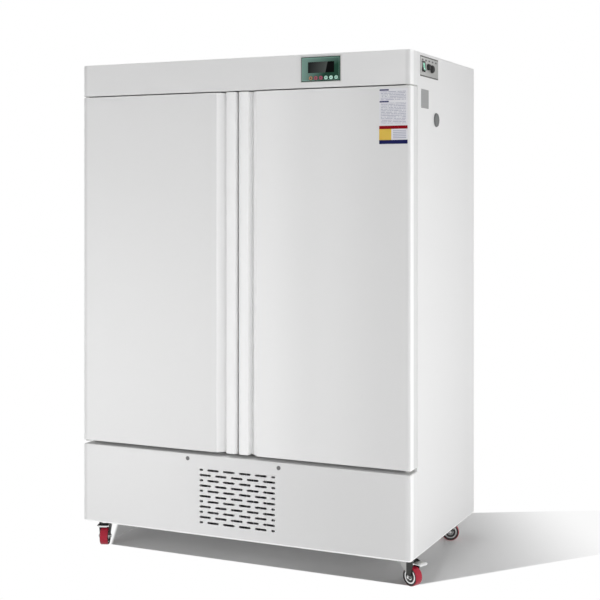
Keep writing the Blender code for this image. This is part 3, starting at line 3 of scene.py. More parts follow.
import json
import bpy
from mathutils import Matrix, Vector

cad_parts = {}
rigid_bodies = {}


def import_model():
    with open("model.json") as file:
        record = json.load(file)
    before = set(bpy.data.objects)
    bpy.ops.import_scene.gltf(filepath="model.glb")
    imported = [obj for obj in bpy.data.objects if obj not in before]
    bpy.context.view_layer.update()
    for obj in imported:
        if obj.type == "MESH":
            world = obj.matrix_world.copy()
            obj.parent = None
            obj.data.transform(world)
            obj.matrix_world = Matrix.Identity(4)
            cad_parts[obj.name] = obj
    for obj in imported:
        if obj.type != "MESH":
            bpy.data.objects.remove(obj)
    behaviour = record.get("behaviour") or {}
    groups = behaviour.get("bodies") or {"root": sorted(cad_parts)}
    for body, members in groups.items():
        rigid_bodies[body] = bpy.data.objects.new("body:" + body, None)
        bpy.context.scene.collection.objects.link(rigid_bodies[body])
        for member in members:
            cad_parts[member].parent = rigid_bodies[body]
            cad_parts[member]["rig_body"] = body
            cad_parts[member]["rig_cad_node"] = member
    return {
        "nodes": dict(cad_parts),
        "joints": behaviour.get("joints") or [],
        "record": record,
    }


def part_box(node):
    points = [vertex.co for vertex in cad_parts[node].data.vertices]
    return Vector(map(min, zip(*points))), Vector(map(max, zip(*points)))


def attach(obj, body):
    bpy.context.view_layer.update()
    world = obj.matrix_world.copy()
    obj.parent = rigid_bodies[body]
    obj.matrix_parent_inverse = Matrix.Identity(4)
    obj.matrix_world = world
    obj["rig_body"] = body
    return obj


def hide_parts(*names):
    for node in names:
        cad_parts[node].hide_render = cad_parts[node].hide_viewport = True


bl_info = {
    "name": "Light incubator looks",
    "version": (1, 0, 0),
    "blender": (4, 5, 0),
    "location": "View3D > Sidebar > Incubator",
    "description": "Dresses the incubator's frame with detailed pieces and procedural materials",
    "category": "Object",
}

from functools import partialmethod, reduce
from math import atan2, cos, pi, radians, sin

import bmesh
import bpy
from mathutils import Matrix, Vector

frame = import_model()
NODES = frame["nodes"]
JOINTS = {joint["name"]: joint for joint in frame["joints"]}
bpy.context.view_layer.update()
LEFT_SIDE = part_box("left_side_panel")[0]
RIGHT_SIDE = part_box("right_side_panel")[1]

CORNERS = ("front_right", "front_left", "rear_right", "rear_left")
SIDES = ("left", "right")
MERGE = 0.00001
WALL_STEP = 0.00005
SMOOTH_ANGLE = 40
FINE_EDGE = 0.0006
GRILLE_CENTRE = (0.0, 0.241)
GRILLE_HALF = (0.152, 0.100)
HANDLE_REACH = 0.0815
CORNER_ZONE = 0.011
ACROSS = (3.0, 3.0, 800.0)
UPRIGHT = (800.0, 800.0, 3.0)
ALONG_X = (0, pi / 2, 0)
ALONG_Y = (pi / 2, 0, 0)


def tint(name, description, default):
    return bpy.props.FloatVectorProperty(
        name=name, description=description, subtype="COLOR", default=default, min=0, max=1)


def amount(name, description, default, least=0, **limits):
    return bpy.props.FloatProperty(name=name, description=description, default=default, min=least, **limits)


def power(name, place, default):
    return amount(name, f"Power of the soft lamp {place}", default, unit="POWER")


class PaintSettings(bpy.types.PropertyGroup):
    white: tint("Cabinet white", "Colour of the powder coat", (0.79, 0.79, 0.79))
    handle: tint("Handle white", "Colour of the doors' moulded handles", (0.93, 0.93, 0.93))
    roughness: amount("Roughness", "Roughness of the powder coat", 0.38, max=1)
    peel: amount("Orange peel", "Strength of the powder coat's texture", 0.05, max=1)
    edge: amount("Folded edge", "Radius of the sheets' folded edges", 0.0008, unit="LENGTH")


class ControlSettings(bpy.types.PropertyGroup):
    # The film's two colours are the ends of the painted shade across it.
    film_lit_end: tint("Film, light end", "Colour of the control film at its left", (0.18, 0.30, 0.26))
    film_shaded_end: tint("Film, dark end", "Colour of the control film at its right", (0.010, 0.050, 0.030))
    bezel: tint("Bezel", "Colour of the frame round the film", (0.76, 0.77, 0.77))
    border_inset: amount(
        "Border inset", "Distance of the printed border from the film's edge", 0.0045, unit="LENGTH")


class CasterSettings(bpy.types.PropertyGroup):
    tread: tint("Tread", "Colour of the polyurethane tread", (0.40, 0.018, 0.040))
    tread_depth: amount("Tread depth", "Depth of the tread over its core", 0.0065, unit="LENGTH")
    shoulder: amount("Shoulder", "Radius of the tread's shoulders", 0.0035, unit="LENGTH")


class StageSettings(bpy.types.PropertyGroup):
    lens: amount("Lens", "Focal length of the camera", 74.26, 1, unit="CAMERA")
    camera_place: bpy.props.FloatVectorProperty(
        name="Camera", description="Place of the camera", subtype="TRANSLATION",
        default=(2.034, -4.2475, 1.3189))
    camera_turn: bpy.props.FloatProperty(
        name="Camera turn", description="Turn of the camera about the vertical", subtype="ANGLE",
        default=radians(24.708))
    camera_shift: bpy.props.FloatProperty(
        name="Camera shift", description="Upward shift of the lens", default=-0.1743)
    sky: amount("Sky", "Strength of the room light", 0.16)
    key: amount("Key", "Strength of the key lamp from the front left", 0.75)
    side_fill: power("Side fill", "at the right", 22.0)
    low_fill: power("Low fill", "low at the front left", 31.0)
    near_fill: power("Near fill", "close to the right side", 15.0)
    front_fill: power("Front fill", "at the front right", 60.0)
    rear_fill: power("Rear fill", "behind the cabinet", 70.0)


def deselect():
    if bpy.context.mode != "OBJECT":
        bpy.ops.object.mode_set(mode="OBJECT")
    bpy.ops.object.select_all(action="DESELECT")


def only(piece):
    """Select one object and make it active."""
    deselect()
    piece.select_set(True)
    bpy.context.view_layer.objects.active = piece


def edit(piece, kind="FACE"):
    """Open a piece in edit mode with nothing selected; the next only() or deselect() closes it."""
    only(piece)
    bpy.ops.object.mode_set(mode="EDIT")
    bpy.ops.mesh.select_mode(type=kind)
    bpy.ops.mesh.select_all(action="DESELECT")


def pick(test, kind="FACE"):
    """Select the faces or edges of the open mesh that pass a test."""
    mesh = bmesh.from_edit_mesh(bpy.context.edit_object.data)
    for part in mesh.faces if kind == "FACE" else mesh.edges:
        part.select_set(bool(test(part)))
    bmesh.update_edit_mesh(bpy.context.edit_object.data)


def shade(piece):
    only(piece)
    bpy.ops.object.shade_smooth_by_angle(angle=radians(SMOOTH_ANGLE))


def freeze(piece):
    """Bring a piece's place, turn and size into its mesh."""
    only(piece)
    bpy.ops.object.transform_apply(location=True, rotation=True, scale=True)


def modified(piece, kind, **values):
    """Add a modifier to a piece and apply it."""
    made = piece.modifiers.new("shaping", kind)
    for key, value in values.items():
        setattr(made, key, value)
    only(piece)
    bpy.ops.object.modifier_apply(modifier=made.name)


def round_edges(piece, width, segments=2, angle=35):
    """Round every sharp edge of a piece with an applied bevel."""
    modified(piece, "BEVEL", width=width, segments=segments, limit_method="ANGLE", angle_limit=radians(angle))


def carve(piece, cutter):
    """Cut a model out of a piece."""
    modified(piece, "BOOLEAN", operation="DIFFERENCE", solver="EXACT", object=cutter)
    discard(cutter)


def settle(piece, name, material, slot_name, body, *replaced):
    """Bring a finished piece's place into its mesh, give it its material and let it ride on its body."""
    freeze(piece)
    piece.name = name
    piece.data.name = name
    piece.data.materials.clear()
    piece.data.materials.append(bpy.data.materials[material] if isinstance(material, str) else material)
    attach(piece, body)
    if replaced:
        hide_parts(*replaced)
    return piece


def dress(node, material):
    """Give a CAD node its procedural material."""
    NODES[node].data.materials.clear()
    NODES[node].data.materials.append(material)


def refined(node, name, material, slot_name, edge, segments=2):
    """Merged, cleaned copy of a CAD node with rounded edges, which stands for the node."""
    only(NODES[node])
    bpy.ops.object.duplicate()
    piece = bpy.context.active_object
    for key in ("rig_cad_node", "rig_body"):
        del piece[key]
    piece.parent = None
    edit(piece, "VERT")
    bpy.ops.mesh.select_all(action="SELECT")
    bpy.ops.mesh.remove_doubles(threshold=MERGE)
    bpy.ops.mesh.dissolve_limited(angle_limit=radians(0.5))
    if edge:
        round_edges(piece, edge, segments, SMOOTH_ANGLE)
    shade(settle(piece, name, material, slot_name, NODES[node]["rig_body"], node))
    if edge:
        modified(piece, "WEIGHTED_NORMAL", keep_sharp=True, weight=100)


def cylinder(centre, radius, depth, turn, sides, edge=0.0, segments=2):
    """Add a cylinder primitive, with its rims rounded; turn is ALONG_X, ALONG_Y or a rotation."""
    deselect()
    bpy.ops.mesh.primitive_cylinder_add(
        vertices=sides, radius=radius, depth=depth, location=centre, rotation=turn)
    piece = bpy.context.active_object
    if edge:
        round_edges(piece, edge, segments)
    return piece


def box_piece(low, high):
    """Add a cube primitive between two corners, with its size in its mesh."""
    low, high = Vector(low), Vector(high)
    deselect()
    bpy.ops.mesh.primitive_cube_add(size=1, location=(low + high) / 2)
    piece = bpy.context.active_object
    piece.scale = high - low
    bpy.ops.object.transform_apply(location=False, rotation=False, scale=True)
    return piece


def step_caps(piece, *steps):
    """Shape a turned piece's flat ends by insets; each step is (inwards, outwards)."""
    edit(piece)
    pick(lambda face: abs(face.normal.z) > 0.999)
    for inwards, outwards in steps:
        bpy.ops.mesh.inset(thickness=max(inwards, WALL_STEP), depth=outwards)


def pierce(piece, wall):
    """Open a turned piece from end to end, leaving a wall."""
    edit(piece)
    pick(lambda face: len(face.verts) > 4)
    bpy.ops.mesh.inset(thickness=wall)
    bpy.ops.mesh.delete(type="FACE")
    pick(lambda edge: edge.is_boundary, "EDGE")
    bpy.ops.mesh.bridge_edge_loops()


def joined(*pieces):
    """Join pieces into the first of them."""
    deselect()
    for piece in pieces:
        piece.select_set(True)
    bpy.context.view_layer.objects.active = pieces[0]
    bpy.ops.object.join()
    return bpy.context.active_object


def copy_at(piece, matrix):
    """Copy of a model with its own mesh, placed by a matrix."""
    twin = piece.copy()
    twin.data = piece.data.copy()
    bpy.context.scene.collection.objects.link(twin)
    twin.matrix_world = matrix @ piece.matrix_world
    return twin


def discard(*models):
    for model in models:
        bpy.data.objects.remove(model)


def pivot(joint):
    return Vector(JOINTS[joint]["pos_m"])


def middle(low, high):
    """Centre and half size of the rectangle between two corners."""
    return (low + high) / 2, (high - low) / 2


class Term:
    """A number in a shader tree; each operation on it adds a node."""

    def __init__(self, tree, socket):
        self.tree = tree
        self.socket = socket

    def reckon(self, operation, other=None):
        entries = {0: self} if other is None else {0: self, 1: other}
        return Term(self.tree, node(self.tree, "Math", entries, operation=operation).outputs[0])

    __add__ = partialmethod(reckon, "ADD")
    __sub__ = partialmethod(reckon, "SUBTRACT")
    __mul__ = partialmethod(reckon, "MULTIPLY")
    __truediv__ = partialmethod(reckon, "DIVIDE")
    __lt__ = partialmethod(reckon, "LESS_THAN")
    __gt__ = partialmethod(reckon, "GREATER_THAN")
    __abs__ = partialmethod(reckon, "ABSOLUTE")
    larger = partialmethod(reckon, "MAXIMUM")
    fraction = partialmethod(reckon, "FRACT")

    def ramped(self, start, end, low=0.0, high=1.0):
        """Smooth step between two limits."""
        limits = {"Value": self, "From Min": start, "From Max": end, "To Min": low, "To Max": high}
        made = node(self.tree, "MapRange", limits, interpolation_type="SMOOTHSTEP")
        return Term(self.tree, made.outputs["Result"])

    def mixed(self, first, second):
        """Colour between two, each a socket or a value: the first where the term is 0."""
        made = node(self.tree, "Mix", {0: self, 6: first, 7: second}, data_type="RGBA")
        return made.outputs[2]

    def coloured(self, *stops):
        """Colour of a ramp; each stop is a place and a colour."""
        made = node(self.tree, "ValToRGB", {"Fac": self})
        elements = made.color_ramp.elements
        for element, (place, colour) in zip(elements, stops):
            element.position = place
            element.color = (*colour, 1)
        for place, colour in stops[2:]:
            elements.new(place).color = (*colour, 1)
        return made.outputs["Color"]


def feed(tree, value, entry):
    """Link a term or a socket to a node's entry, or write a value there."""
    if isinstance(value, Term):
        value = value.socket
    if isinstance(value, bpy.types.NodeSocket):
        tree.links.new(value, entry)
    elif entry.type == "RGBA":
        entry.default_value = (*value[:3], 1)
    else:
        entry.default_value = value


def node(tree, kind, entries, **properties):
    """Add a shader node, set its properties and feed its entries."""
    made = tree.nodes.new("ShaderNode" + kind)
    for key, value in properties.items():
        setattr(made, key, value)
    for key, value in entries.items():
        feed(tree, value, made.inputs[key])
    return made


def group_node(tree, name, **entries):
    """Place a shared group in a material; an underscore in a key stands for a space."""
    spaced = {key.replace("_", " "): value for key, value in entries.items()}
    return node(tree, "Group", spaced, node_tree=bpy.data.node_groups[name])


def object_socket(tree):
    """The place on the surface, in the cabinet's frame."""
    return node(tree, "TexCoord", {}).outputs["Object"]


def object_place(tree):
    """The x, y and z of the place on the surface."""
    split = node(tree, "SeparateXYZ", {0: object_socket(tree)})
    return [Term(tree, output) for output in split.outputs]


def noise(tree, place, scale, detail):
    """Noise from 0 to 1 at a place."""
    made = node(tree, "TexNoise", {"Vector": place, "Scale": scale, "Detail": detail})
    return Term(tree, made.outputs["Fac"])


def seen_rays(tree):
    """1 for rays from the camera, directly or by reflection or through glass."""
    path = node(tree, "LightPath", {})
    camera, glossy, through = (Term(tree, path.outputs[f"Is {kind} Ray"])
                               for kind in ("Camera", "Glossy", "Transmission"))
    return camera.larger(glossy).larger(through)


def shared_group(name, entries, results):
    """Start a node group; entries are (name, kind, default), and results are (name, kind)."""
    tree = bpy.data.node_groups.new(name, "ShaderNodeTree")
    for label, kind, default in entries:
        made = tree.interface.new_socket(name=label, in_out="INPUT", socket_type="NodeSocket" + kind)
        made.default_value = default
    for label, kind in results:
        tree.interface.new_socket(name=label, in_out="OUTPUT", socket_type="NodeSocket" + kind)
    given = tree.nodes.new("NodeGroupInput")
    terms = {label: Term(tree, given.outputs[label]) for label, _, _ in entries}
    return tree, terms, tree.nodes.new("NodeGroupOutput")


def texture_group(name, first, roughness, spread):
    """Start a group of fine surface texture, which gives a roughness and a normal."""
    floats = {"Strength": 0.1, "Roughness": roughness, "Spread": spread}
    entries = [first] + [(label, "Float", default) for label, default in floats.items()]
    return shared_group(name, entries, (("Roughness", "Float"), ("Normal", "Vector")))


def end_texture(tree, given, result, height, depth, swing):
    """Finish a texture group with its bumps, and a roughness that swings about the given one."""
    bump = node(tree, "Bump", {"Distance": depth, "Strength": given["Strength"], "Height": height})
    feed(tree, given["Roughness"] + (swing - 0.5) * given["Spread"], result.inputs["Roughness"])
    feed(tree, bump.outputs["Normal"], result.inputs["Normal"])


def grain_group():
    """Fine surface texture: powder coat's orange peel, moulded plastic or rubber."""
    tree, given, result = texture_group("fine_texture", ("Scale", "Float", 700.0), 0.4, 0.05)
    place = object_socket(tree)
    fine = noise(tree, place, given["Scale"], 2.0)
    broad = noise(tree, place, 9.0, 4.0)
    end_texture(tree, given, result, fine, 0.0004, broad)


def brushed_group():
    """Brush lines of metal sheet, stretched along one direction."""
    tree, given, result = texture_group("brush_lines", ("Stretch", "Vector", (4.0, 4.0, 900.0)), 0.3, 0.12)
    stretched = node(tree, "VectorMath", {0: object_socket(tree), 1: given["Stretch"]}, operation="MULTIPLY")
    lines = noise(tree, stretched.outputs[0], 1.0, 3.0)
    end_texture(tree, given, result, lines, 0.0003, lines)


def drift_group():
    """Slow drift of a colour over a surface, as on real paint, metal and plastic."""
    entries = (("Colour", "Color", (*grey(0.8), 1)), ("Scale", "Float", 2.5), ("Amount", "Float", 0.04))
    tree, given, result = shared_group("colour_drift", entries, (("Colour", "Color"),))
    clouds = noise(tree, object_socket(tree), given["Scale"], 5.0)
    level = (clouds - 0.5) * given["Amount"] + 1.0
    shaded = node(tree, "VectorMath", {0: given["Colour"], "Scale": level}, operation="SCALE")
    feed(tree, shaded.outputs[0], result.inputs["Colour"])


def rectangle_group():
    """Signed distance to a rectangle in a plane: below zero inside it."""
    names = ("Across", "Up", "Centre across", "Centre up", "Half width", "Half height")
    tree, given, result = shared_group(
        "rectangle_distance", [(name, "Float", 0.0) for name in names], (("Distance", "Float"),))
    aside = abs(given["Across"] - given["Centre across"]) - given["Half width"]
    above = abs(given["Up"] - given["Centre up"]) - given["Half height"]
    feed(tree, aside.larger(above), result.inputs["Distance"])


def distance(across, up, centre, half):
    """Signed distance of a place from a rectangle's border."""
    made = group_node(across.tree, "rectangle_distance", Across=across, Up=up, Centre_across=centre[0],
                      Centre_up=centre[1], Half_width=half[0], Half_height=half[1])
    return Term(across.tree, made.outputs["Distance"])


def inside(across, up, centre, half):
    """Mask that is 1 inside a rectangle."""
    return distance(across, up, centre, half) < 0.0


def outline(across, up, centre, half, line):
    """Mask that is 1 on the border of a rectangle."""
    return abs(distance(across, up, centre, half)) < line / 2


def grey(level):
    return (level, level, level)


def surface(name, colour, roughness=0.4, metallic=0.0, texture=(700.0, 0.1), spread=0.06, drift=(2.5, 0.04),
            brushed=None, **sockets):
    """Material of one finish: colour drift, fine texture or brush lines, and plain shader sockets."""
    material = bpy.data.materials.new(name)
    material.use_nodes = True
    tree = material.node_tree
    shader = tree.nodes["Principled BSDF"]
    shader.inputs["Metallic"].default_value = metallic
    for key, value in sockets.items():
        shader.inputs[key.replace("_", " ")].default_value = value
    drifting = group_node(tree, "colour_drift", Colour=colour, Scale=drift[0], Amount=drift[1])
    drifting.name = "drift"
    feed(tree, drifting.outputs["Colour"], shader.inputs["Base Color"])
    shared = {"Strength": texture[1], "Roughness": roughness, "Spread": spread}
    if brushed:
        fine = group_node(tree, "brush_lines", Stretch=brushed, **shared)
    else:
        fine = group_node(tree, "fine_texture", Scale=texture[0], **shared)
    for name in ("Roughness", "Normal"):
        feed(tree, fine.outputs[name], shader.inputs[name])
    return material


def patterned(*facts, **more):
    """Material of one finish, and the x, y and z of the place on its surface."""
    material = surface(*facts, **more)
    return material, *object_place(material.node_tree)


def recolour(material, colour):
    """Feed a pattern's colour through the material's colour drift."""
    tree = material.node_tree
    feed(tree, colour, tree.nodes["drift"].inputs["Colour"])
    return material


def powder_coat(name):
    """White powder coat of the cabinet's sheets."""
    paint = bpy.context.scene.incubator_paint
    return surface(name, paint.white, paint.roughness, texture=(520.0, paint.peel), drift=(1.6, 0.02),
                   Specular_IOR_Level=0.45)


def finishes():
    """All plain finishes of the incubator, by name."""
    caster = bpy.context.scene.incubator_casters
    control = bpy.context.scene.incubator_control
    return {
        "white_paint": powder_coat("white_powder_coat"),
        "black_paint": surface("black_paint", (0.03, 0.03, 0.032), 0.42, texture=(600.0, 0.12)),
        "stainless": surface("stainless_steel", grey(0.60), 0.30, 1.0, (0.0, 0.12), 0.16, brushed=ACROSS),
        "shelf_steel": surface("shelf_steel", (0.63, 0.63, 0.64), 0.26, 1.0, (0.0, 0.08), 0.12,
                               brushed=UPRIGHT),
        "zinc": surface("zinc_plating", (0.62, 0.62, 0.60), 0.27, 1.0, (380.0, 0.10), 0.20, (30.0, 0.16)),
        "screw": surface("screw_steel", grey(0.20), 0.35, 0.6, (380.0, 0.06), 0.10, (30.0, 0.10)),
        "chrome": surface("bright_plating", grey(0.78), 0.12, 1.0, (300.0, 0.03), 0.06, (25.0, 0.06)),
        "aluminium": surface("fin_aluminium", (0.72, 0.73, 0.74), 0.36, 1.0, (0.0, 0.12), 0.14,
                             brushed=UPRIGHT),
        "white_plastic": surface("white_plastic", (0.80, 0.80, 0.79), 0.45, texture=(900.0, 0.10)),
        "foam": surface("rigid_foam", (0.80, 0.74, 0.55), 0.90, texture=(260.0, 0.6), drift=(12.0, 0.15)),
        "grey_rubber": surface("grey_rubber", (0.50, 0.51, 0.51), 0.70, texture=(800.0, 0.25)),
        # Pale gasket, made near white partly as painted light, so the shaded gap between door and cabinet
        # reads lighter.
        "pale_seal": surface("pale_seal", (0.95, 0.95, 0.94), 0.60, texture=(800.0, 0.20)),
        "grey_plastic": surface("grey_plastic", control.bezel, 0.42, texture=(900.0, 0.12)),
        "black_plastic": surface("black_plastic", (0.010, 0.010, 0.011), 0.38, texture=(900.0, 0.15),
                                 Specular_IOR_Level=0.2),
        "red_tread": surface("red_polyurethane", caster.tread, 0.34, texture=(420.0, 0.10), spread=0.12,
                             drift=(40.0, 0.20), Specular_IOR_Level=0.25, Coat_Weight=0.08,
                             Coat_Roughness=0.2),
        "lamp": surface("lamp_diffuser", (0.88, 0.88, 0.86), 0.35, texture=(700.0, 0.06)),
        "ink": surface("key_print", (0.02, 0.05, 0.04), 0.6, texture=(900.0, 0.05)),
    }


def body_colour_and_painted_light(material, base):
    """Feed the body's colour to a paint.

    The lower panel is greyed towards the right as painted shade, and the slot walls and inner face of its
    grille are near black as painted shade. Beside each front corner lie a painted shade line on the front and
    a painted highlight on the side, and a painted highlight lies along the fold at the foot.
    """
    foot_highlight_height = 0.0045
    skin = 0.0006
    x, y, z = object_place(material.node_tree)
    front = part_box("header_panel")[0].y
    low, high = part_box("lower_front_panel")
    turn = (abs(x) - RIGHT_SIDE.x) + (y - front)
    # Painted highlight on the side faces, just behind each front corner.
    light = turn.ramped(0.001, 0.006) * turn.ramped(0.036, 0.028) * (abs(x) > RIGHT_SIDE.x - CORNER_ZONE)
    at_front = y < front + CORNER_ZONE
    # Painted shade line on the front faces, just beside each front corner.
    dark = turn.ramped(-0.022, -0.012) * turn.ramped(0.001, -0.003) * at_front
    face = at_front * (z < high.z)
    # Painted shade: the grille's slot walls and inner face are made near black.
    grille_painted_shade = inside(x, z, GRILLE_CENTRE, GRILLE_HALF) * (y > low.y + skin)
    # Painted shade: the lower panel greys towards the right.
    colour = (face * x.ramped(-0.35, 0.6)).mixed(base, grey(0.67))
    colour = (face * grille_painted_shade).mixed(colour, grey(0.02))
    colour = dark.mixed(colour, grey(0.70))
    colour = light.mixed(colour, grey(0.96))
    # Painted highlight along the fold at the foot.
    return recolour(material, (z < low.z + foot_highlight_height).mixed(colour, grey(0.97)))


def door_finish():
    """Powder coat of a door's face: a whiter moulded handle; on the right door a painted highlight that fades
    out away from the handle, and painted shade that greys its far right.
    """
    paint = bpy.context.scene.incubator_paint
    material = powder_coat("door_powder_coat")
    x = object_place(material.node_tree)[0]
    # Painted highlight: the right door whitens towards its handle.
    colour = ((x > 0.0) * x.ramped(0.30, 0.09, 0.0, 0.6)).mixed(paint.white, paint.handle)
    # Painted shade: the right door greys towards its far right.
    colour = x.ramped(0.32, 0.60).mixed(colour, grey(0.71))
    return body_colour_and_painted_light(material, (abs(x) < HANDLE_REACH).mixed(colour, paint.handle))


def fork_shade_and_highlight_finish(corner):
    """Pressed steel made near black as painted shade, with a painted highlight on the side of the leg that
    faces the swivel head.
    """
    wheel = pivot(f"roll_{corner}")
    way = (pivot(f"swivel_{corner}") - wheel).xy.normalized()
    material, x, y, _ = patterned(
        f"pressed_fork_{corner}", grey(0.05), 0.34, 0.6, (300.0, 0.12), 0.24, (18.0, 0.4))
    # Painted highlight on the leg's side towards the swivel head; elsewhere near-black painted shade.
    bright = (x * way.x + y * way.y - wheel.xy.dot(way)).ramped(0.009, 0.012)
    return recolour(material, bright.mixed((0.045, 0.045, 0.043), (0.42, 0.42, 0.41)))


def base_frame_finish():
    """White pan with the dark caster plates under it; their near black is also painted shade under the
    cabinet.
    """
    material, _, _, z = patterned("painted_base", grey(0.7), 0.45, texture=(520.0, 0.1))
    # Dark caster plates, made near black as painted shade under the cabinet as well.
    plate = z < LEFT_SIDE.z - 0.00015
    return recolour(material, plate.mixed(grey(0.74), grey(0.03)))


def control_film():
    """Green printed film with painted shade that darkens it towards its right, most at the bottom, a dark
    edge and a pale border inside it.
    """
    settings = bpy.context.scene.incubator_control
    low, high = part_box("control_face")
    edge_line = 0.0044
    border_line = 0.0007
    material, x, _, z = patterned(
        "control_film", settings.film_lit_end, 0.32, texture=(1200.0, 0.06), drift=(30.0, 0.08),
        Specular_IOR_Level=0.15)
    across = (x - low.x) / (high.x - low.x)
    down = (z - high.z) / (low.z - high.z)
    # Painted shade: light at the upper left, darkening towards the lower right.
    shaded = (across * (down * 0.71 + 0.29)).coloured((0.05, settings.film_lit_end), (0.48, settings.film_shaded_end))
    centre, half = middle(low.xz, high.xz)
    dark = outline(x, z, centre, half, edge_line).mixed(shaded, (0.012, 0.035, 0.025))
    border = half - Vector((settings.border_inset, settings.border_inset))
    return recolour(material, outline(x, z, centre, border, border_line).mixed(dark, (0.30, 0.50, 0.42)))


def display_finish():
    """Dark glossy window with a painted reflection: a grey band that brightens up to a slanted edge, beyond
    which the window is black.
    """
    low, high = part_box("display_window")
    material, x, _, z = patterned(
        "display_glass", (0.006, 0.007, 0.007), 0.22, texture=(60.0, 0.01), spread=0.02,
        Specular_IOR_Level=0.05)
    # Painted reflection: a grey band on the glass instead of the room's real reflection.
    painted_reflection_run = (x - low.x - (z - low.z) * 0.22) / (high.x - low.x)
    return recolour(material, painted_reflection_run.coloured((0.0, (0.016, 0.018, 0.018)), (0.665, (0.078, 0.088, 0.083)),
                                           (0.675, (0.0015, 0.002, 0.002))))


def switch_plate_finish():
    """Brushed plate with painted shade that darkens it towards its back and bottom, a dark line along its
    upper and lower edge, a black rim and five dark marks.
    """
    low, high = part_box("switch_plate")
    centre, half = middle(low, high)
    rocker_centre, rocker_half = (corner.yz for corner in middle(*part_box("mains_rocker")))
    edge_line = 0.0042
    first_mark, mark_pitch, mark_drop = 0.021, 0.035, 0.0128
    material, _, y, z = patterned(
        "switch_plate_metal", (0.66, 0.68, 0.68), 0.42, 0.35, (0.0, 0.08), 0.12, brushed=ACROSS)
    # Painted shade: the plate darkens towards its back and bottom.
    fall = (y - z).ramped(low.y - high.z, high.y - low.z)
    marked = fall.mixed((0.52, 0.52, 0.51), (0.34, 0.34, 0.33))
    lines = abs(z - centre.z) > half.z - edge_line
    marked = lines.mixed(marked, (0.06, 0.06, 0.055))
    rim = inside(y, z, rocker_centre, rocker_half + Vector((0.0030, 0.0040)))
    marked = rim.mixed(marked, grey(0.02))
    for number in range(5):
        spot = (low.y + first_mark + mark_pitch * number, high.z - mark_drop)
        marked = inside(y, z, spot, (0.0085, 0.0028)).mixed(marked, grey(0.07))
    return recolour(material, marked)


def rocker_finish():
    """Black rocker with a lit green lens along its middle."""
    centre, half = middle(*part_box("mains_rocker"))
    material, _, y, z = patterned(
        "lit_rocker", (0.10, 0.42, 0.27), 0.25, texture=(500.0, 0.05), drift=(60.0, 0.25),
        Emission_Strength=1.0)
    lens = inside(y, z, (centre.y + 0.0035, centre.z), (0.0078, half.z - 0.0022))
    shader = material.node_tree.nodes["Principled BSDF"]
    feed(material.node_tree, lens.mixed(grey(0), (0.04, 0.20, 0.12)), shader.inputs["Emission Color"])
    return recolour(material, lens.mixed((0.008, 0.010, 0.009), (0.14, 0.50, 0.34)))


def ruled_sheet_finish(low, high):
    """White adhesive sheet with two short bars and plain grey rules, and no words."""
    pitch = 0.0053
    margin = 0.006
    material, x, _, z = patterned(
        "ruled_sheet", (0.78, 0.78, 0.79), 0.5, texture=(1500.0, 0.05), drift=(20.0, 0.03))
    tree = material.node_tree
    centre, half = middle(low.xz, high.xz)
    field = inside(x, z, centre, half - Vector((margin, margin)))
    rows = (z - low.z) / pitch
    steps = node(tree, "CombineXYZ", {0: x * 260.0, 1: rows.reckon("FLOOR") * 7.3})
    breaks = node(tree, "TexNoise", {"Vector": steps.outputs[0], "Scale": 1.0}, noise_dimensions="2D")
    rule = (rows.fraction() < 0.42) * field * (Term(tree, breaks.outputs["Fac"]) > 0.40)
    ruled = rule.mixed((0.72, 0.72, 0.75), (0.36, 0.37, 0.46))
    for drop in (0.005, 0.044):
        blank = inside(x, z, (centre[0], high.z - drop), (half[0], 0.0042))
        bar = inside(x, z, (low.x + 0.018, high.z - drop), (0.0165, 0.0026))
        ruled = bar.mixed(blank.mixed(ruled, (0.74, 0.74, 0.77)), (0.025, 0.025, 0.10))
    return recolour(material, ruled)


def colour_card_finish(low, high):
    """Card with a maroon band above, a navy band below, and a yellow and a ruled field between."""
    pitch = 0.0062
    material, x, _, z = patterned(
        "colour_card", (0.72, 0.72, 0.74), 0.6, texture=(1500.0, 0.05), drift=(20.0, 0.03),
        Specular_IOR_Level=0.1)
    width, _, height = high - low
    field = inside(x, z, (low.x + 0.72 * width, low.z + 0.52 * height), (0.23 * width, 0.22 * height))
    rule = (((z - low.z) / pitch).fraction() < 0.45) * field
    banded = rule.mixed((0.72, 0.72, 0.76), (0.36, 0.37, 0.46))
    banded = (x < low.x + 0.43 * width).mixed(banded, (0.70, 0.48, 0.09))
    banded = (z > high.z - 0.18 * height).mixed(banded, (0.24, 0.004, 0.010))
    return recolour(material, (z < low.z + 0.22 * height).mixed(banded, (0.010, 0.012, 0.075)))


def board_finish():
    """Solder mask with lighter copper tracks, and grey parts standing on it."""
    material, x, y, z = patterned("circuit_board", (0.03, 0.16, 0.07), 0.5, texture=(900.0, 0.1))
    track = ((x + z) * 260.0).fraction() < 0.25
    green = track.mixed((0.02, 0.14, 0.06), (0.06, 0.28, 0.12))
    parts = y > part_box("control_board")[0].y + 0.0142
    return recolour(material, parts.mixed(green, (0.10, 0.10, 0.11)))


class INCUBATOR_OT_materials(bpy.types.Operator):
    """Build the shared node groups and dress every CAD node"""

    bl_idname = "incubator.materials"
    bl_label = "Materials"

    def execute(self, context):
        for build in (grain_group, brushed_group, drift_group, rectangle_group):
            build()
        made = finishes()
        body_colour_and_painted_light(made["white_paint"], context.scene.incubator_paint.white)
        slots = {row["node"]: row["material_slot"] for row in frame["record"]["subparts"]}
        for name in NODES:
            finish = "shelf_steel" if name.startswith("shelf_") else slots[name]
            dress(name, made.get(finish, made["grey_plastic"]))
        dress("display_window", made["black_plastic"])
        dress("base_frame", base_frame_finish())
        dress("control_board", board_finish())
        return {"FINISHED"}


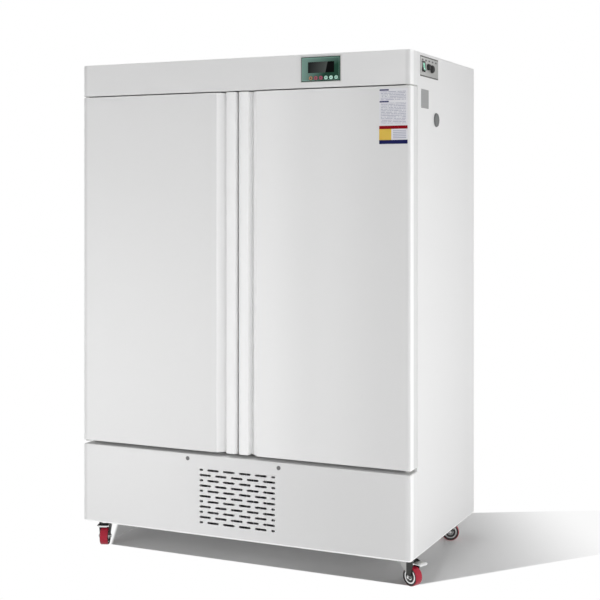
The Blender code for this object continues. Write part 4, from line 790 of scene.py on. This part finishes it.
class INCUBATOR_OT_cabinet(bpy.types.Operator):
    """Cabinet sheets with their folded edges rounded"""

    bl_idname = "incubator.cabinet"
    bl_label = "Cabinet"

    sheets = {"header_panel": "header_hood", "left_side_panel": "left_side_sheet",
              "right_side_panel": "right_side_sheet", "top_panel": "lid_sheet", "rear_panel": "rear_sheet"}

    def execute(self, context):
        edge = context.scene.incubator_paint.edge
        for name, piece_name in self.sheets.items():
            refined(name, piece_name, "white_powder_coat", "white_paint", edge)
        refined("lower_front_panel", "grille_panel", "white_powder_coat", "white_paint", 0.0)
        for side in SIDES:
            for end in ("top", "bottom"):
                refined(f"{side}_hinge_{end}", f"{side}_{end}_hinge", "zinc_plating", "zinc", FINE_EDGE)
        return {"FINISHED"}


class INCUBATOR_OT_doors(bpy.types.Operator):
    """Door leaves with their moulded handles, the linings and the lamps"""

    bl_idname = "incubator.doors"
    bl_label = "Doors"

    def execute(self, context):
        edge = context.scene.incubator_paint.edge
        leaf_paint = door_finish()
        for side in SIDES:
            door = f"{side}_door"
            refined(f"{door}_skin", f"{door}_leaf", leaf_paint, "white_paint", edge)
            refined(f"{door}_liner", f"{door}_pan", "white_plastic", "white_plastic", FINE_EDGE)
            refined(f"{door}_gasket", f"{door}_seal", "pale_seal", "grey_rubber", 0.0012, 3)
            self.lamp(side)
        return {"FINISHED"}

    def lamp(self, side):
        """Diffuser tube between two end caps, on the lamp's base channel."""
        name = f"{side}_door_lamp"
        length = 0.022
        refined(name, f"{side}_lamp_tube", "lamp_diffuser", "lamp", 0.0008)
        low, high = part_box(name)
        cap = box_piece((low.x, low.y + 0.0002, low.z), (high.x, high.y - 0.001, low.z + length))
        round_edges(cap, 0.003, 3)
        other = copy_at(cap, Matrix.Translation((0, 0, high.z - low.z - length)))
        shade(settle(joined(cap, other), f"{side}_lamp_caps", "grey_plastic", "grey_plastic", f"{side}_door"))


class INCUBATOR_OT_panel_screws(bpy.types.Operator):
    """Two pan-head screws that hold the lower front panel"""

    bl_idname = "incubator.panel_screws"
    bl_label = "Panel screws"

    places = ((-0.1990, 0.3715), (0.1646, 0.3695))
    radius = 0.0075
    height = 0.0024

    def execute(self, context):
        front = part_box("lower_front_panel")[0].y
        heads = []
        for x, z in self.places:
            place = (x, front - self.height / 2 + 0.0002, z)
            head = cylinder(place, self.radius, self.height, ALONG_Y, 40, 0.0011, 4)
            slot_low = (x - 0.0007, front - self.height - 0.0004, z - 0.0042)
            slot_high = (x + 0.0007, front - self.height + 0.0013, z + 0.0042)
            for turn in (0, pi / 2):
                cutter = box_piece(slot_low, slot_high)
                cutter.rotation_euler = (0, turn, 0)
                carve(head, cutter)
            heads.append(head)
        shade(settle(joined(*heads), "panel_screws", "screw_steel", "zinc", "cabinet"))
        return {"FINISHED"}


class INCUBATOR_OT_control_panel(bpy.types.Operator):
    """Bezel, printed film, display and the keys with their marks"""

    bl_idname = "incubator.control_panel"
    bl_label = "Control panel"

    keys = {
        1: ("orange_key", (0.45, 0.24, 0.12), 24, 0),
        2: ("red_key", (0.38, 0.08, 0.12), 4, pi / 4),
        3: ("red_key", (0.34, 0.06, 0.11), 4, pi / 4),
        4: ("pale_key", (0.48, 0.78, 0.66), 3, pi / 2),
        5: ("pale_key", (0.55, 0.85, 0.73), 3, -pi / 2),
        6: ("pale_key", (0.40, 0.68, 0.57), 3, 0),
    }

    def execute(self, context):
        refined("control_bezel", "panel_bezel", "grey_plastic", "grey_plastic", 0.0012, 3)
        refined("control_face", "panel_film", control_film(), "green_plastic", 0.0003, 1)
        refined("display_window", "panel_display", display_finish(), "display", 0.0005)
        for number, (slot_name, colour, sides, turn) in self.keys.items():
            self.key(number, slot_name, colour)
            self.mark(number, sides, turn)
        return {"FINISHED"}

    def key(self, number, slot_name, colour):
        """Domed key cap with a raised rim, and the dark ring round it."""
        low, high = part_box(f"key_{number}")
        centre, half = middle(low, high)
        film_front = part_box("control_face")[0].y
        radius = half.x - 0.0012
        depth = high.y - low.y - 0.0006
        cap = cylinder((centre.x, low.y + depth / 2, centre.z), radius, depth, ALONG_Y, 40, FINE_EDGE, 3)
        step_caps(cap, (0.0013, 0.0), (0.0004, -0.0003))
        plastic = surface(f"key_{number}_plastic", colour, 0.35, texture=(900.0, 0.08), drift=(60.0, 0.10))
        ring = cylinder((centre.x, film_front - 0.00015, centre.z), radius + 0.0011, 0.0003, ALONG_Y, 40)
        step_caps(ring, (0.0004, 0.00004))
        shade(settle(cap, f"key_cap_{number}", plastic, slot_name, f"button_{number}", f"key_{number}"))
        settle(ring, f"key_surround_{number}", "black_plastic", "black_plastic", "cabinet")

    def mark(self, number, sides, turn):
        """Plain sign on a key: a ring, a square or an arrow head."""
        low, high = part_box(f"key_{number}")
        x, _, z = (low + high) / 2
        sign = cylinder((x, low.y + 0.0003, z), 0.0027, 0.00025, (pi / 2, turn, 0), sides)
        step_caps(sign, (0.0009, -0.00008))
        settle(sign, f"key_mark_{number}", "key_print", "black_plastic", f"button_{number}")


class INCUBATOR_OT_switch_panel(bpy.types.Operator):
    """Switch plate, lit rocker with its marks, and the two round fittings"""

    bl_idname = "incubator.switch_panel"
    bl_label = "Switch panel"

    def execute(self, context):
        refined("switch_plate", "switch_panel_plate", switch_plate_finish(), "aluminium", 0.0004)
        refined("mains_rocker", "rocker_cap", rocker_finish(), "lit_green", 0.0009, 3)
        self.rocker_marks()
        self.fitting("fuse_holder", "fuse_cap", True)
        self.fitting("aux_socket", "socket_body", False)
        return {"FINISHED"}

    def rocker_marks(self):
        """ON bar and OFF ring on the two halves of the rocker, lying along its tilted faces."""
        tilt = Matrix.Rotation(radians(-JOINTS["rocker_tilt"]["range_deg"][1] / 2), 4, "Y")
        reach = 0.0056
        bar = box_piece((reach, -0.0007, 0.0050), (reach + 0.0004, 0.0007, 0.0098))
        round_edges(bar, 0.0001, 1)
        ring = cylinder((reach + 0.0002, 0, -0.0074), 0.0026, 0.0004, ALONG_X, 32)
        step_caps(ring, (0.0008, -0.00012))
        marks = joined(bar, ring)
        freeze(marks)
        marks.matrix_world = Matrix.Translation(pivot("rocker_tilt")) @ tilt
        settle(marks, "rocker_marks", "white_plastic", "white_plastic", "rocker")

    def fitting(self, node_name, piece_name, slotted):
        """Black threaded fitting: a knurled collar, with a screwdriver slot or a recessed socket."""
        low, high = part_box(node_name)
        _, y, z = (low + high) / 2
        plate_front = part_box("switch_plate")[1].x - 0.002
        radius = (high.y - low.y) / 2
        length = high.x - plate_front
        collar = cylinder((plate_front + length * 0.3, y, z), radius, length * 0.6, ALONG_X, 48)
        edit(collar)
        pick(lambda face: len(face.verts) == 4 and face.index % 2 == 0)
        bpy.ops.mesh.extrude_faces_move(TRANSFORM_OT_shrink_fatten={"value": -0.0006})
        place = (high.x - length * 0.28, y, z)
        body = cylinder(place, radius * 0.84, length * 0.56, ALONG_X, 48, 0.0009, 3)
        if slotted:
            carve(body, box_piece((high.x - 0.0022, y - 0.0009, z - radius * 0.6),
                                  (high.x + 0.001, y + 0.0009, z + radius * 0.6)))
        else:
            step_caps(body, (0.0022, 0.0), (0.0003, -0.0036), (0.0024, 0.0), (0.0003, 0.0012))
        whole = joined(collar, body)
        shade(settle(whole, piece_name, "black_plastic", "black_plastic", "cabinet", node_name))


class INCUBATOR_OT_access_port(bpy.types.Operator):
    """Collar of the access port and its grey plug"""

    bl_idname = "incubator.access_port"
    bl_label = "Access port"

    bore = 0.0175
    wall = 0.003

    def execute(self, context):
        grey_plastic = surface("port_plastic", (0.24, 0.245, 0.25), 0.5, texture=(900.0, 0.15))
        rubber = surface("plug_rubber", (0.16, 0.165, 0.165), 0.65, texture=(700.0, 0.25))
        low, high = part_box("port_collar")
        x, y, z = (low + high) / 2
        collar = cylinder((x, y, z), self.bore + self.wall, high.x - low.x, ALONG_X, 64)
        pierce(collar, self.wall)
        flange = cylinder((high.x - 0.001, y, z), (high.y - low.y) / 2, 0.002, ALONG_X, 64, 0.0007, 3)
        sleeve = joined(collar, flange)
        shade(settle(sleeve, "port_sleeve", grey_plastic, "grey_plastic", "cabinet", "port_collar"))
        plug_low, plug_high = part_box("port_plug")
        cap_depth = (plug_high.x - high.x) * 0.6
        cap = cylinder((high.x + cap_depth / 2 + 0.0002, y, z), (plug_high.y - plug_low.y) / 2, cap_depth,
                       ALONG_X, 64, 0.0012, 4)
        step_caps(cap, (0.004, 0.0), (0.0008, -0.0008))
        length = high.x - plug_low.x
        stem = cylinder((plug_low.x + length / 2, y, z), self.bore - 0.0006, length, ALONG_X, 48, 0.0015, 3)
        shade(settle(joined(cap, stem), "port_stopper", rubber, "grey_rubber", "plug", "port_plug"))
        return {"FINISHED"}


class INCUBATOR_OT_sheets(bpy.types.Operator):
    """Adhesive sheet and card on the right door, and the bare plate on the right side"""

    bl_idname = "incubator.sheets"
    bl_label = "Sheets and plate"

    sheet_box = (0.539, 1.5535, 0.640, 1.677)
    card_box = (0.539, 1.491, 0.640, 1.552)
    plate_box = (-0.2552, 1.6172, -0.1772, 1.6815)
    thickness = 0.0003

    def execute(self, context):
        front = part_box("right_door_skin")[0].y
        for name, box, finish in (("ruled_sheet", self.sheet_box, ruled_sheet_finish),
                                  ("colour_card", self.card_box, colour_card_finish)):
            low = Vector((box[0], front - self.thickness, box[1]))
            high = Vector((box[2], front + 0.0001, box[3]))
            sheet = box_piece(low, high)
            self.round_corners(sheet, "y", 0.002)
            settle(sheet, name, finish(low, high), "white_plastic", "right_door")
        low = Vector((RIGHT_SIDE.x - 0.0001, self.plate_box[0], self.plate_box[1]))
        high = Vector((RIGHT_SIDE.x + 0.0006, self.plate_box[2], self.plate_box[3]))
        plate = box_piece(low, high)
        self.round_corners(plate, "x", 0.003)
        metal = surface("bare_plate", (0.30, 0.305, 0.305), 0.42, 0.40, (0.0, 0.1), 0.15, brushed=ACROSS)
        settle(plate, "bare_plate", metal, "aluminium", "cabinet")
        self.rivets(low, high)
        return {"FINISHED"}

    def round_corners(self, sheet, axis, radius):
        """Round the four corner edges that run through a thin sheet."""
        edit(sheet, "EDGE")
        pick(lambda edge: abs(getattr((edge.verts[0].co - edge.verts[1].co).normalized(), axis)) > 0.9,
             "EDGE")
        bpy.ops.mesh.bevel(offset=radius, segments=5, affect="EDGES")

    def rivets(self, low, high):
        """Four dome rivets in the plate's corners."""
        x = RIGHT_SIDE.x + 0.0009
        inset = 0.004
        heads = [cylinder((x, y, z), 0.0018, 0.0010, ALONG_X, 20, 0.0005, 3)
                 for y in (low.y + inset, high.y - inset) for z in (low.z + inset, high.z - inset)]
        shade(settle(joined(*heads), "plate_rivets", "zinc_plating", "zinc", "cabinet"))


class INCUBATOR_OT_casters(bpy.types.Operator):
    """Casters: red tread, black core whose flange covers the tread's sides as painted shade, plated hub, fork
    and brake pedal
    """

    bl_idname = "incubator.casters"
    bl_label = "Casters"

    wheel_width = 0.030
    wheel_parts = {
        "tread": ("red_polyurethane", "red_tread"), "flange": ("black_plastic", "black_plastic"),
        "cover": ("bright_plating", "zinc"), "hub": ("bright_plating", "zinc")}
    # The front left pad is black as painted shade; the front right pad is plated like the pedal.
    pad_finishes_with_painted_shade = {"front_right": ("zinc_plating", "zinc"), "front_left": ("black_plastic", "black_plastic")}

    def execute(self, context):
        models = self.wheel_models(context.scene.incubator_casters)
        for corner in CORNERS:
            axis = JOINTS[f"roll_{corner}"]["axis"]
            turn = Matrix.Rotation(atan2(-axis[0], axis[1]), 4, "Z")
            for part, model in models.items():
                body = f"fork_{corner}" if part == "hub" else f"wheel_{corner}"
                replaced = [f"caster_wheel_{corner}"] if part == "tread" else []
                copy = copy_at(model, Matrix.Translation(pivot(f"roll_{corner}")) @ turn)
                shade(settle(copy, f"wheel_{part}_{corner}", *self.wheel_parts[part], body, *replaced))
            refined(f"caster_fork_{corner}", f"fork_{corner}_pressing", fork_shade_and_highlight_finish(corner), "black_paint",
                    FINE_EDGE)
            if corner in self.pad_finishes_with_painted_shade:
                refined(f"brake_pedal_{corner}", f"pedal_{corner}_plate", "bright_plating", "zinc", FINE_EDGE)
                self.pedal_trim(corner, turn)
        discard(*models.values())
        return {"FINISHED"}

    def wheel_models(self, settings):
        """Parts of one wheel about the Y axis at the origin, as models to copy."""
        low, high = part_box("caster_wheel_rear_left")
        radius = (high.z - low.z) / 2
        inner = radius - settings.tread_depth
        width = self.wheel_width
        tread = self.ring(radius, width, settings.shoulder, settings.tread_depth - settings.shoulder)
        # Black flange nearly out to the tread's shoulders: a black core, carried over the tread's sides as
        # painted shade.
        disc_radius = radius - settings.shoulder + 0.0012
        disc = cylinder((0, 0, 0), disc_radius, width + 0.0014, ALONG_Y, 72, FINE_EDGE)
        step_caps(disc, (0.0034, 0.0), (0.0012, -0.0050), (0.0050, 0.0), (0.0006, 0.0030))
        flange = joined(disc, self.ring(inner * 0.67, width - 0.0034, 0.0008, 0.0042))
        cover = cylinder((0, 0, 0), inner * 0.93, width - 0.0030, ALONG_Y, 64)
        step_caps(cover, (0.0012, 0.0006), (0.0042, -0.0006), (0.0006, -0.0026), (0.0060, 0.0),
                  (0.0010, 0.0030))
        hub = cylinder((0, 0, 0), 0.0074, width + 0.0150, ALONG_Y, 6, FINE_EDGE)
        step_caps(hub, (0.0024, 0.0), (0.0004, 0.0022), (0.0008, 0.0004))
        models = {"tread": tread, "flange": flange, "cover": cover, "hub": hub}
        for model in models.values():
            freeze(model)
        return models

    def ring(self, radius, width, shoulder, wall):
        """Ring about the Y axis with rounded shoulders."""
        ring = cylinder((0, 0, 0), radius, width, ALONG_Y, 72, shoulder, 5)
        pierce(ring, wall)
        return ring

    def pedal_trim(self, corner, turn):
        """Grip pad on the pedal, plated at the front right and black as painted shade at the front left, and
        the turned-down lip at its end.
        """
        place = Matrix.Translation(pivot(f"brake_{corner}")) @ turn
        top, end, half = 0.0050, 0.0380, 0.0205
        pad = box_piece((0.008, -half + 0.003, top - 0.0004), (end - 0.0085, half - 0.003, top + 0.0006))
        edit(pad)
        pick(lambda face: face.normal.z > 0.9)
        bpy.ops.mesh.inset(thickness=0.0012, depth=0.0002)
        lip = box_piece((end - 0.0022, -half * 0.84, top - 0.0064), (end - 0.0002, half * 0.84, top - 0.0002))
        round_edges(lip, 0.0007, 3)
        for piece in (pad, lip):
            freeze(piece)
            piece.matrix_world = place
        body = f"pedal_{corner}"
        settle(pad, f"{body}_pad", *self.pad_finishes_with_painted_shade[corner], body)
        shade(settle(lip, f"{body}_lip", "bright_plating", "zinc", body))


class INCUBATOR_OT_stage(bpy.types.Operator):
    """Camera, floor, lamps and the pale surroundings"""

    bl_idname = "incubator.stage"
    bl_label = "Stage"

    def execute(self, context):
        settings = context.scene.incubator_stage
        deselect()
        bpy.ops.object.camera_add(location=settings.camera_place, rotation=(pi / 2, 0, settings.camera_turn))
        camera = context.active_object
        camera.name = "photo_camera"
        camera.data.lens = settings.lens
        camera.data.shift_y = settings.camera_shift
        camera.data.clip_end = 200
        context.scene.camera = camera
        self.floor()
        self.lamps(settings)
        self.surroundings(settings)
        context.scene.view_settings.view_transform = "Standard"
        return {"FINISHED"}

    def floor(self):
        """Wide pale floor that keeps the cabinet's shadow, deepened by painted shadow and cut and faded by
        painted white, and turns plain white away from it.
        """
        bpy.ops.mesh.primitive_plane_add(size=160, location=(0, 0, 0))
        floor = bpy.context.active_object
        floor.name = "floor"
        material = bpy.data.materials.new("studio_floor")
        material.use_nodes = True
        tree = material.node_tree
        shader = tree.nodes["Principled BSDF"]
        seen = seen_rays(tree)
        x, y, _ = object_place(tree)
        # Painted shadow: the camera sees a darker floor than bounced light does, with a faint lift of 0.02.
        colour = seen.mixed(grey(0.88), self.painted_shadow_colour(x, y))
        for key, value in {"Roughness": 0.95, "Specular IOR Level": 0.0, "Emission Color": grey(1),
                           "Emission Strength": seen * 0.02, "Base Color": colour}.items():
            feed(tree, value, shader.inputs[key])
        white = node(tree, "Emission", {})
        share = self.fade(x, y) * seen
        blend = node(tree, "MixShader", {0: share, 1: shader.outputs[0], 2: white.outputs[0]})
        feed(tree, blend.outputs[0], tree.nodes["Material Output"].inputs["Surface"])
        floor.data.materials.append(material)

    def painted_shadow_colour(self, x, y):
        """Painted shadow: the floor's colour as seen, which deepens the real shadow, most left of the cabinet
        and at its front right foot.
        """
        left, right = LEFT_SIDE.x, RIGHT_SIDE.x
        colour = x.ramped(left + 0.041, left + 0.031).mixed(grey(0.74), grey(0.45))
        foot = x.ramped(0.0, 0.5) * y.ramped(0.15, -0.30) * x.ramped(right - 0.01, right - 0.07)
        return foot.mixed(colour, grey(0.52))

    def fade(self, x, y):
        """1 where painted white covers the floor and its real shadow: past the shadow's straight edges and
        far out along its fall.

        An edge is a point, a heading in degrees, the distances to its left where the white starts and
        ends, and the white it reaches.
        """
        right, left = pivot("roll_front_right"), pivot("roll_front_left")
        rear = Vector((RIGHT_SIDE.x - 0.11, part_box("rear_panel")[1].y + 0.35))
        under = Vector((RIGHT_SIDE.x - 0.006, 0))
        fades = []
        # The under row lifts the shadow outside the cabinet's foot, and the last row fades it out along its
        # fall; both are painted light.
        for point, heading, start, end, peak in (
                (rear, 28, -0.012, 0.012, 1.0), (right, 52, 0.006, -0.010, 1.0),
                (left, 118.6, -0.030, -0.018, 1.0), (under, 101, 0.014, -0.014, 0.10),
                (right, 0, -0.002, -0.012, 1.0), (Vector((0, 0)), -60, 0.58, 1.27, 0.93)):
            along, aside = cos(radians(heading)), sin(radians(heading))
            past = y * along - x * aside - (point.y * along - point.x * aside)
            fades.append(past.ramped(start, end, 0.0, peak))
        return reduce(Term.larger, fades)

    def lamps(self, settings):
        """Key lamp from the front left, and soft lamps for the right side, the front and the rear."""
        bpy.ops.object.light_add(type="SUN", location=(-4, -4, 5.5))
        key = bpy.context.active_object
        key.name = "key_lamp"
        key.data.energy = settings.key
        key.data.angle = radians(3)
        self.aim(key, (1.0, 1.0, -2.8))
        soft = (("side_fill", (5.0, -1.2, 1.0), (0.3, -0.2, 0.9), 2.5),
                ("near_fill", (2.5, -0.5, 0.8), (0.65, -0.25, 0.8), 1.3),
                ("front_fill", (3.6, -3.6, 1.5), (0.0, -0.36, 0.9), 2.0),
                ("low_fill", (-1.5, -2.6, 0.35), (-0.4, 0.0, 0.5), 1.2),
                ("rear_fill", (-0.8, 4.2, 1.3), (0.0, 0.36, 0.9), 2.0))
        for name, place, aim, size in soft:
            bpy.ops.object.light_add(type="AREA", location=place)
            lamp = bpy.context.active_object
            lamp.name = f"{name}_lamp"
            lamp.data.energy = getattr(settings, name)
            lamp.data.size = size
            lamp.visible_camera = False
            lamp.visible_glossy = False
            self.aim(lamp, Vector(aim) - Vector(place))

    def aim(self, lamp, way):
        lamp.rotation_euler = Vector(way).to_track_quat("-Z", "Y").to_euler()

    def surroundings(self, settings):
        """Even room light, and plain white behind the object for the camera and its reflections."""
        world = bpy.data.worlds.new("pale_room")
        bpy.context.scene.world = world
        world.use_nodes = True
        tree = world.node_tree
        background = tree.nodes["Background"]
        feed(tree, grey(1), background.inputs["Color"])
        feed(tree, seen_rays(tree).ramped(0.0, 1.0, settings.sky, 1.0), background.inputs["Strength"])


class INCUBATOR_PT_panel(bpy.types.Panel):
    """Buttons that dress the incubator"""

    bl_idname = "INCUBATOR_PT_panel"
    bl_label = "Incubator"
    bl_space_type = "VIEW_3D"
    bl_region_type = "UI"
    bl_category = "Incubator"

    def draw(self, context):
        for settings in SETTINGS:
            group = getattr(context.scene, settings)
            for name in group.__annotations__:
                self.layout.prop(group, name)
        for operator in OPERATORS:
            self.layout.operator(operator.bl_idname)


OPERATORS = (
    INCUBATOR_OT_materials,
    INCUBATOR_OT_cabinet,
    INCUBATOR_OT_doors,
    INCUBATOR_OT_panel_screws,
    INCUBATOR_OT_control_panel,
    INCUBATOR_OT_switch_panel,
    INCUBATOR_OT_access_port,
    INCUBATOR_OT_sheets,
    INCUBATOR_OT_casters,
    INCUBATOR_OT_stage,
)
SETTINGS = {
    "incubator_paint": PaintSettings,
    "incubator_control": ControlSettings,
    "incubator_casters": CasterSettings,
    "incubator_stage": StageSettings,
}


def register():
    for name, settings in SETTINGS.items():
        bpy.utils.register_class(settings)
        setattr(bpy.types.Scene, name, bpy.props.PointerProperty(type=settings))
    for operator in OPERATORS:
        bpy.utils.register_class(operator)
    bpy.utils.register_class(INCUBATOR_PT_panel)


def unregister():
    bpy.utils.unregister_class(INCUBATOR_PT_panel)
    for operator in reversed(OPERATORS):
        bpy.utils.unregister_class(operator)
    for name, settings in SETTINGS.items():
        delattr(bpy.types.Scene, name)
        bpy.utils.unregister_class(settings)


def main():
    register()
    for operator in OPERATORS:
        group, name = operator.bl_idname.split(".")
        getattr(getattr(bpy.ops, group), name)()
    deselect()


if __name__ == "__main__":
    main()
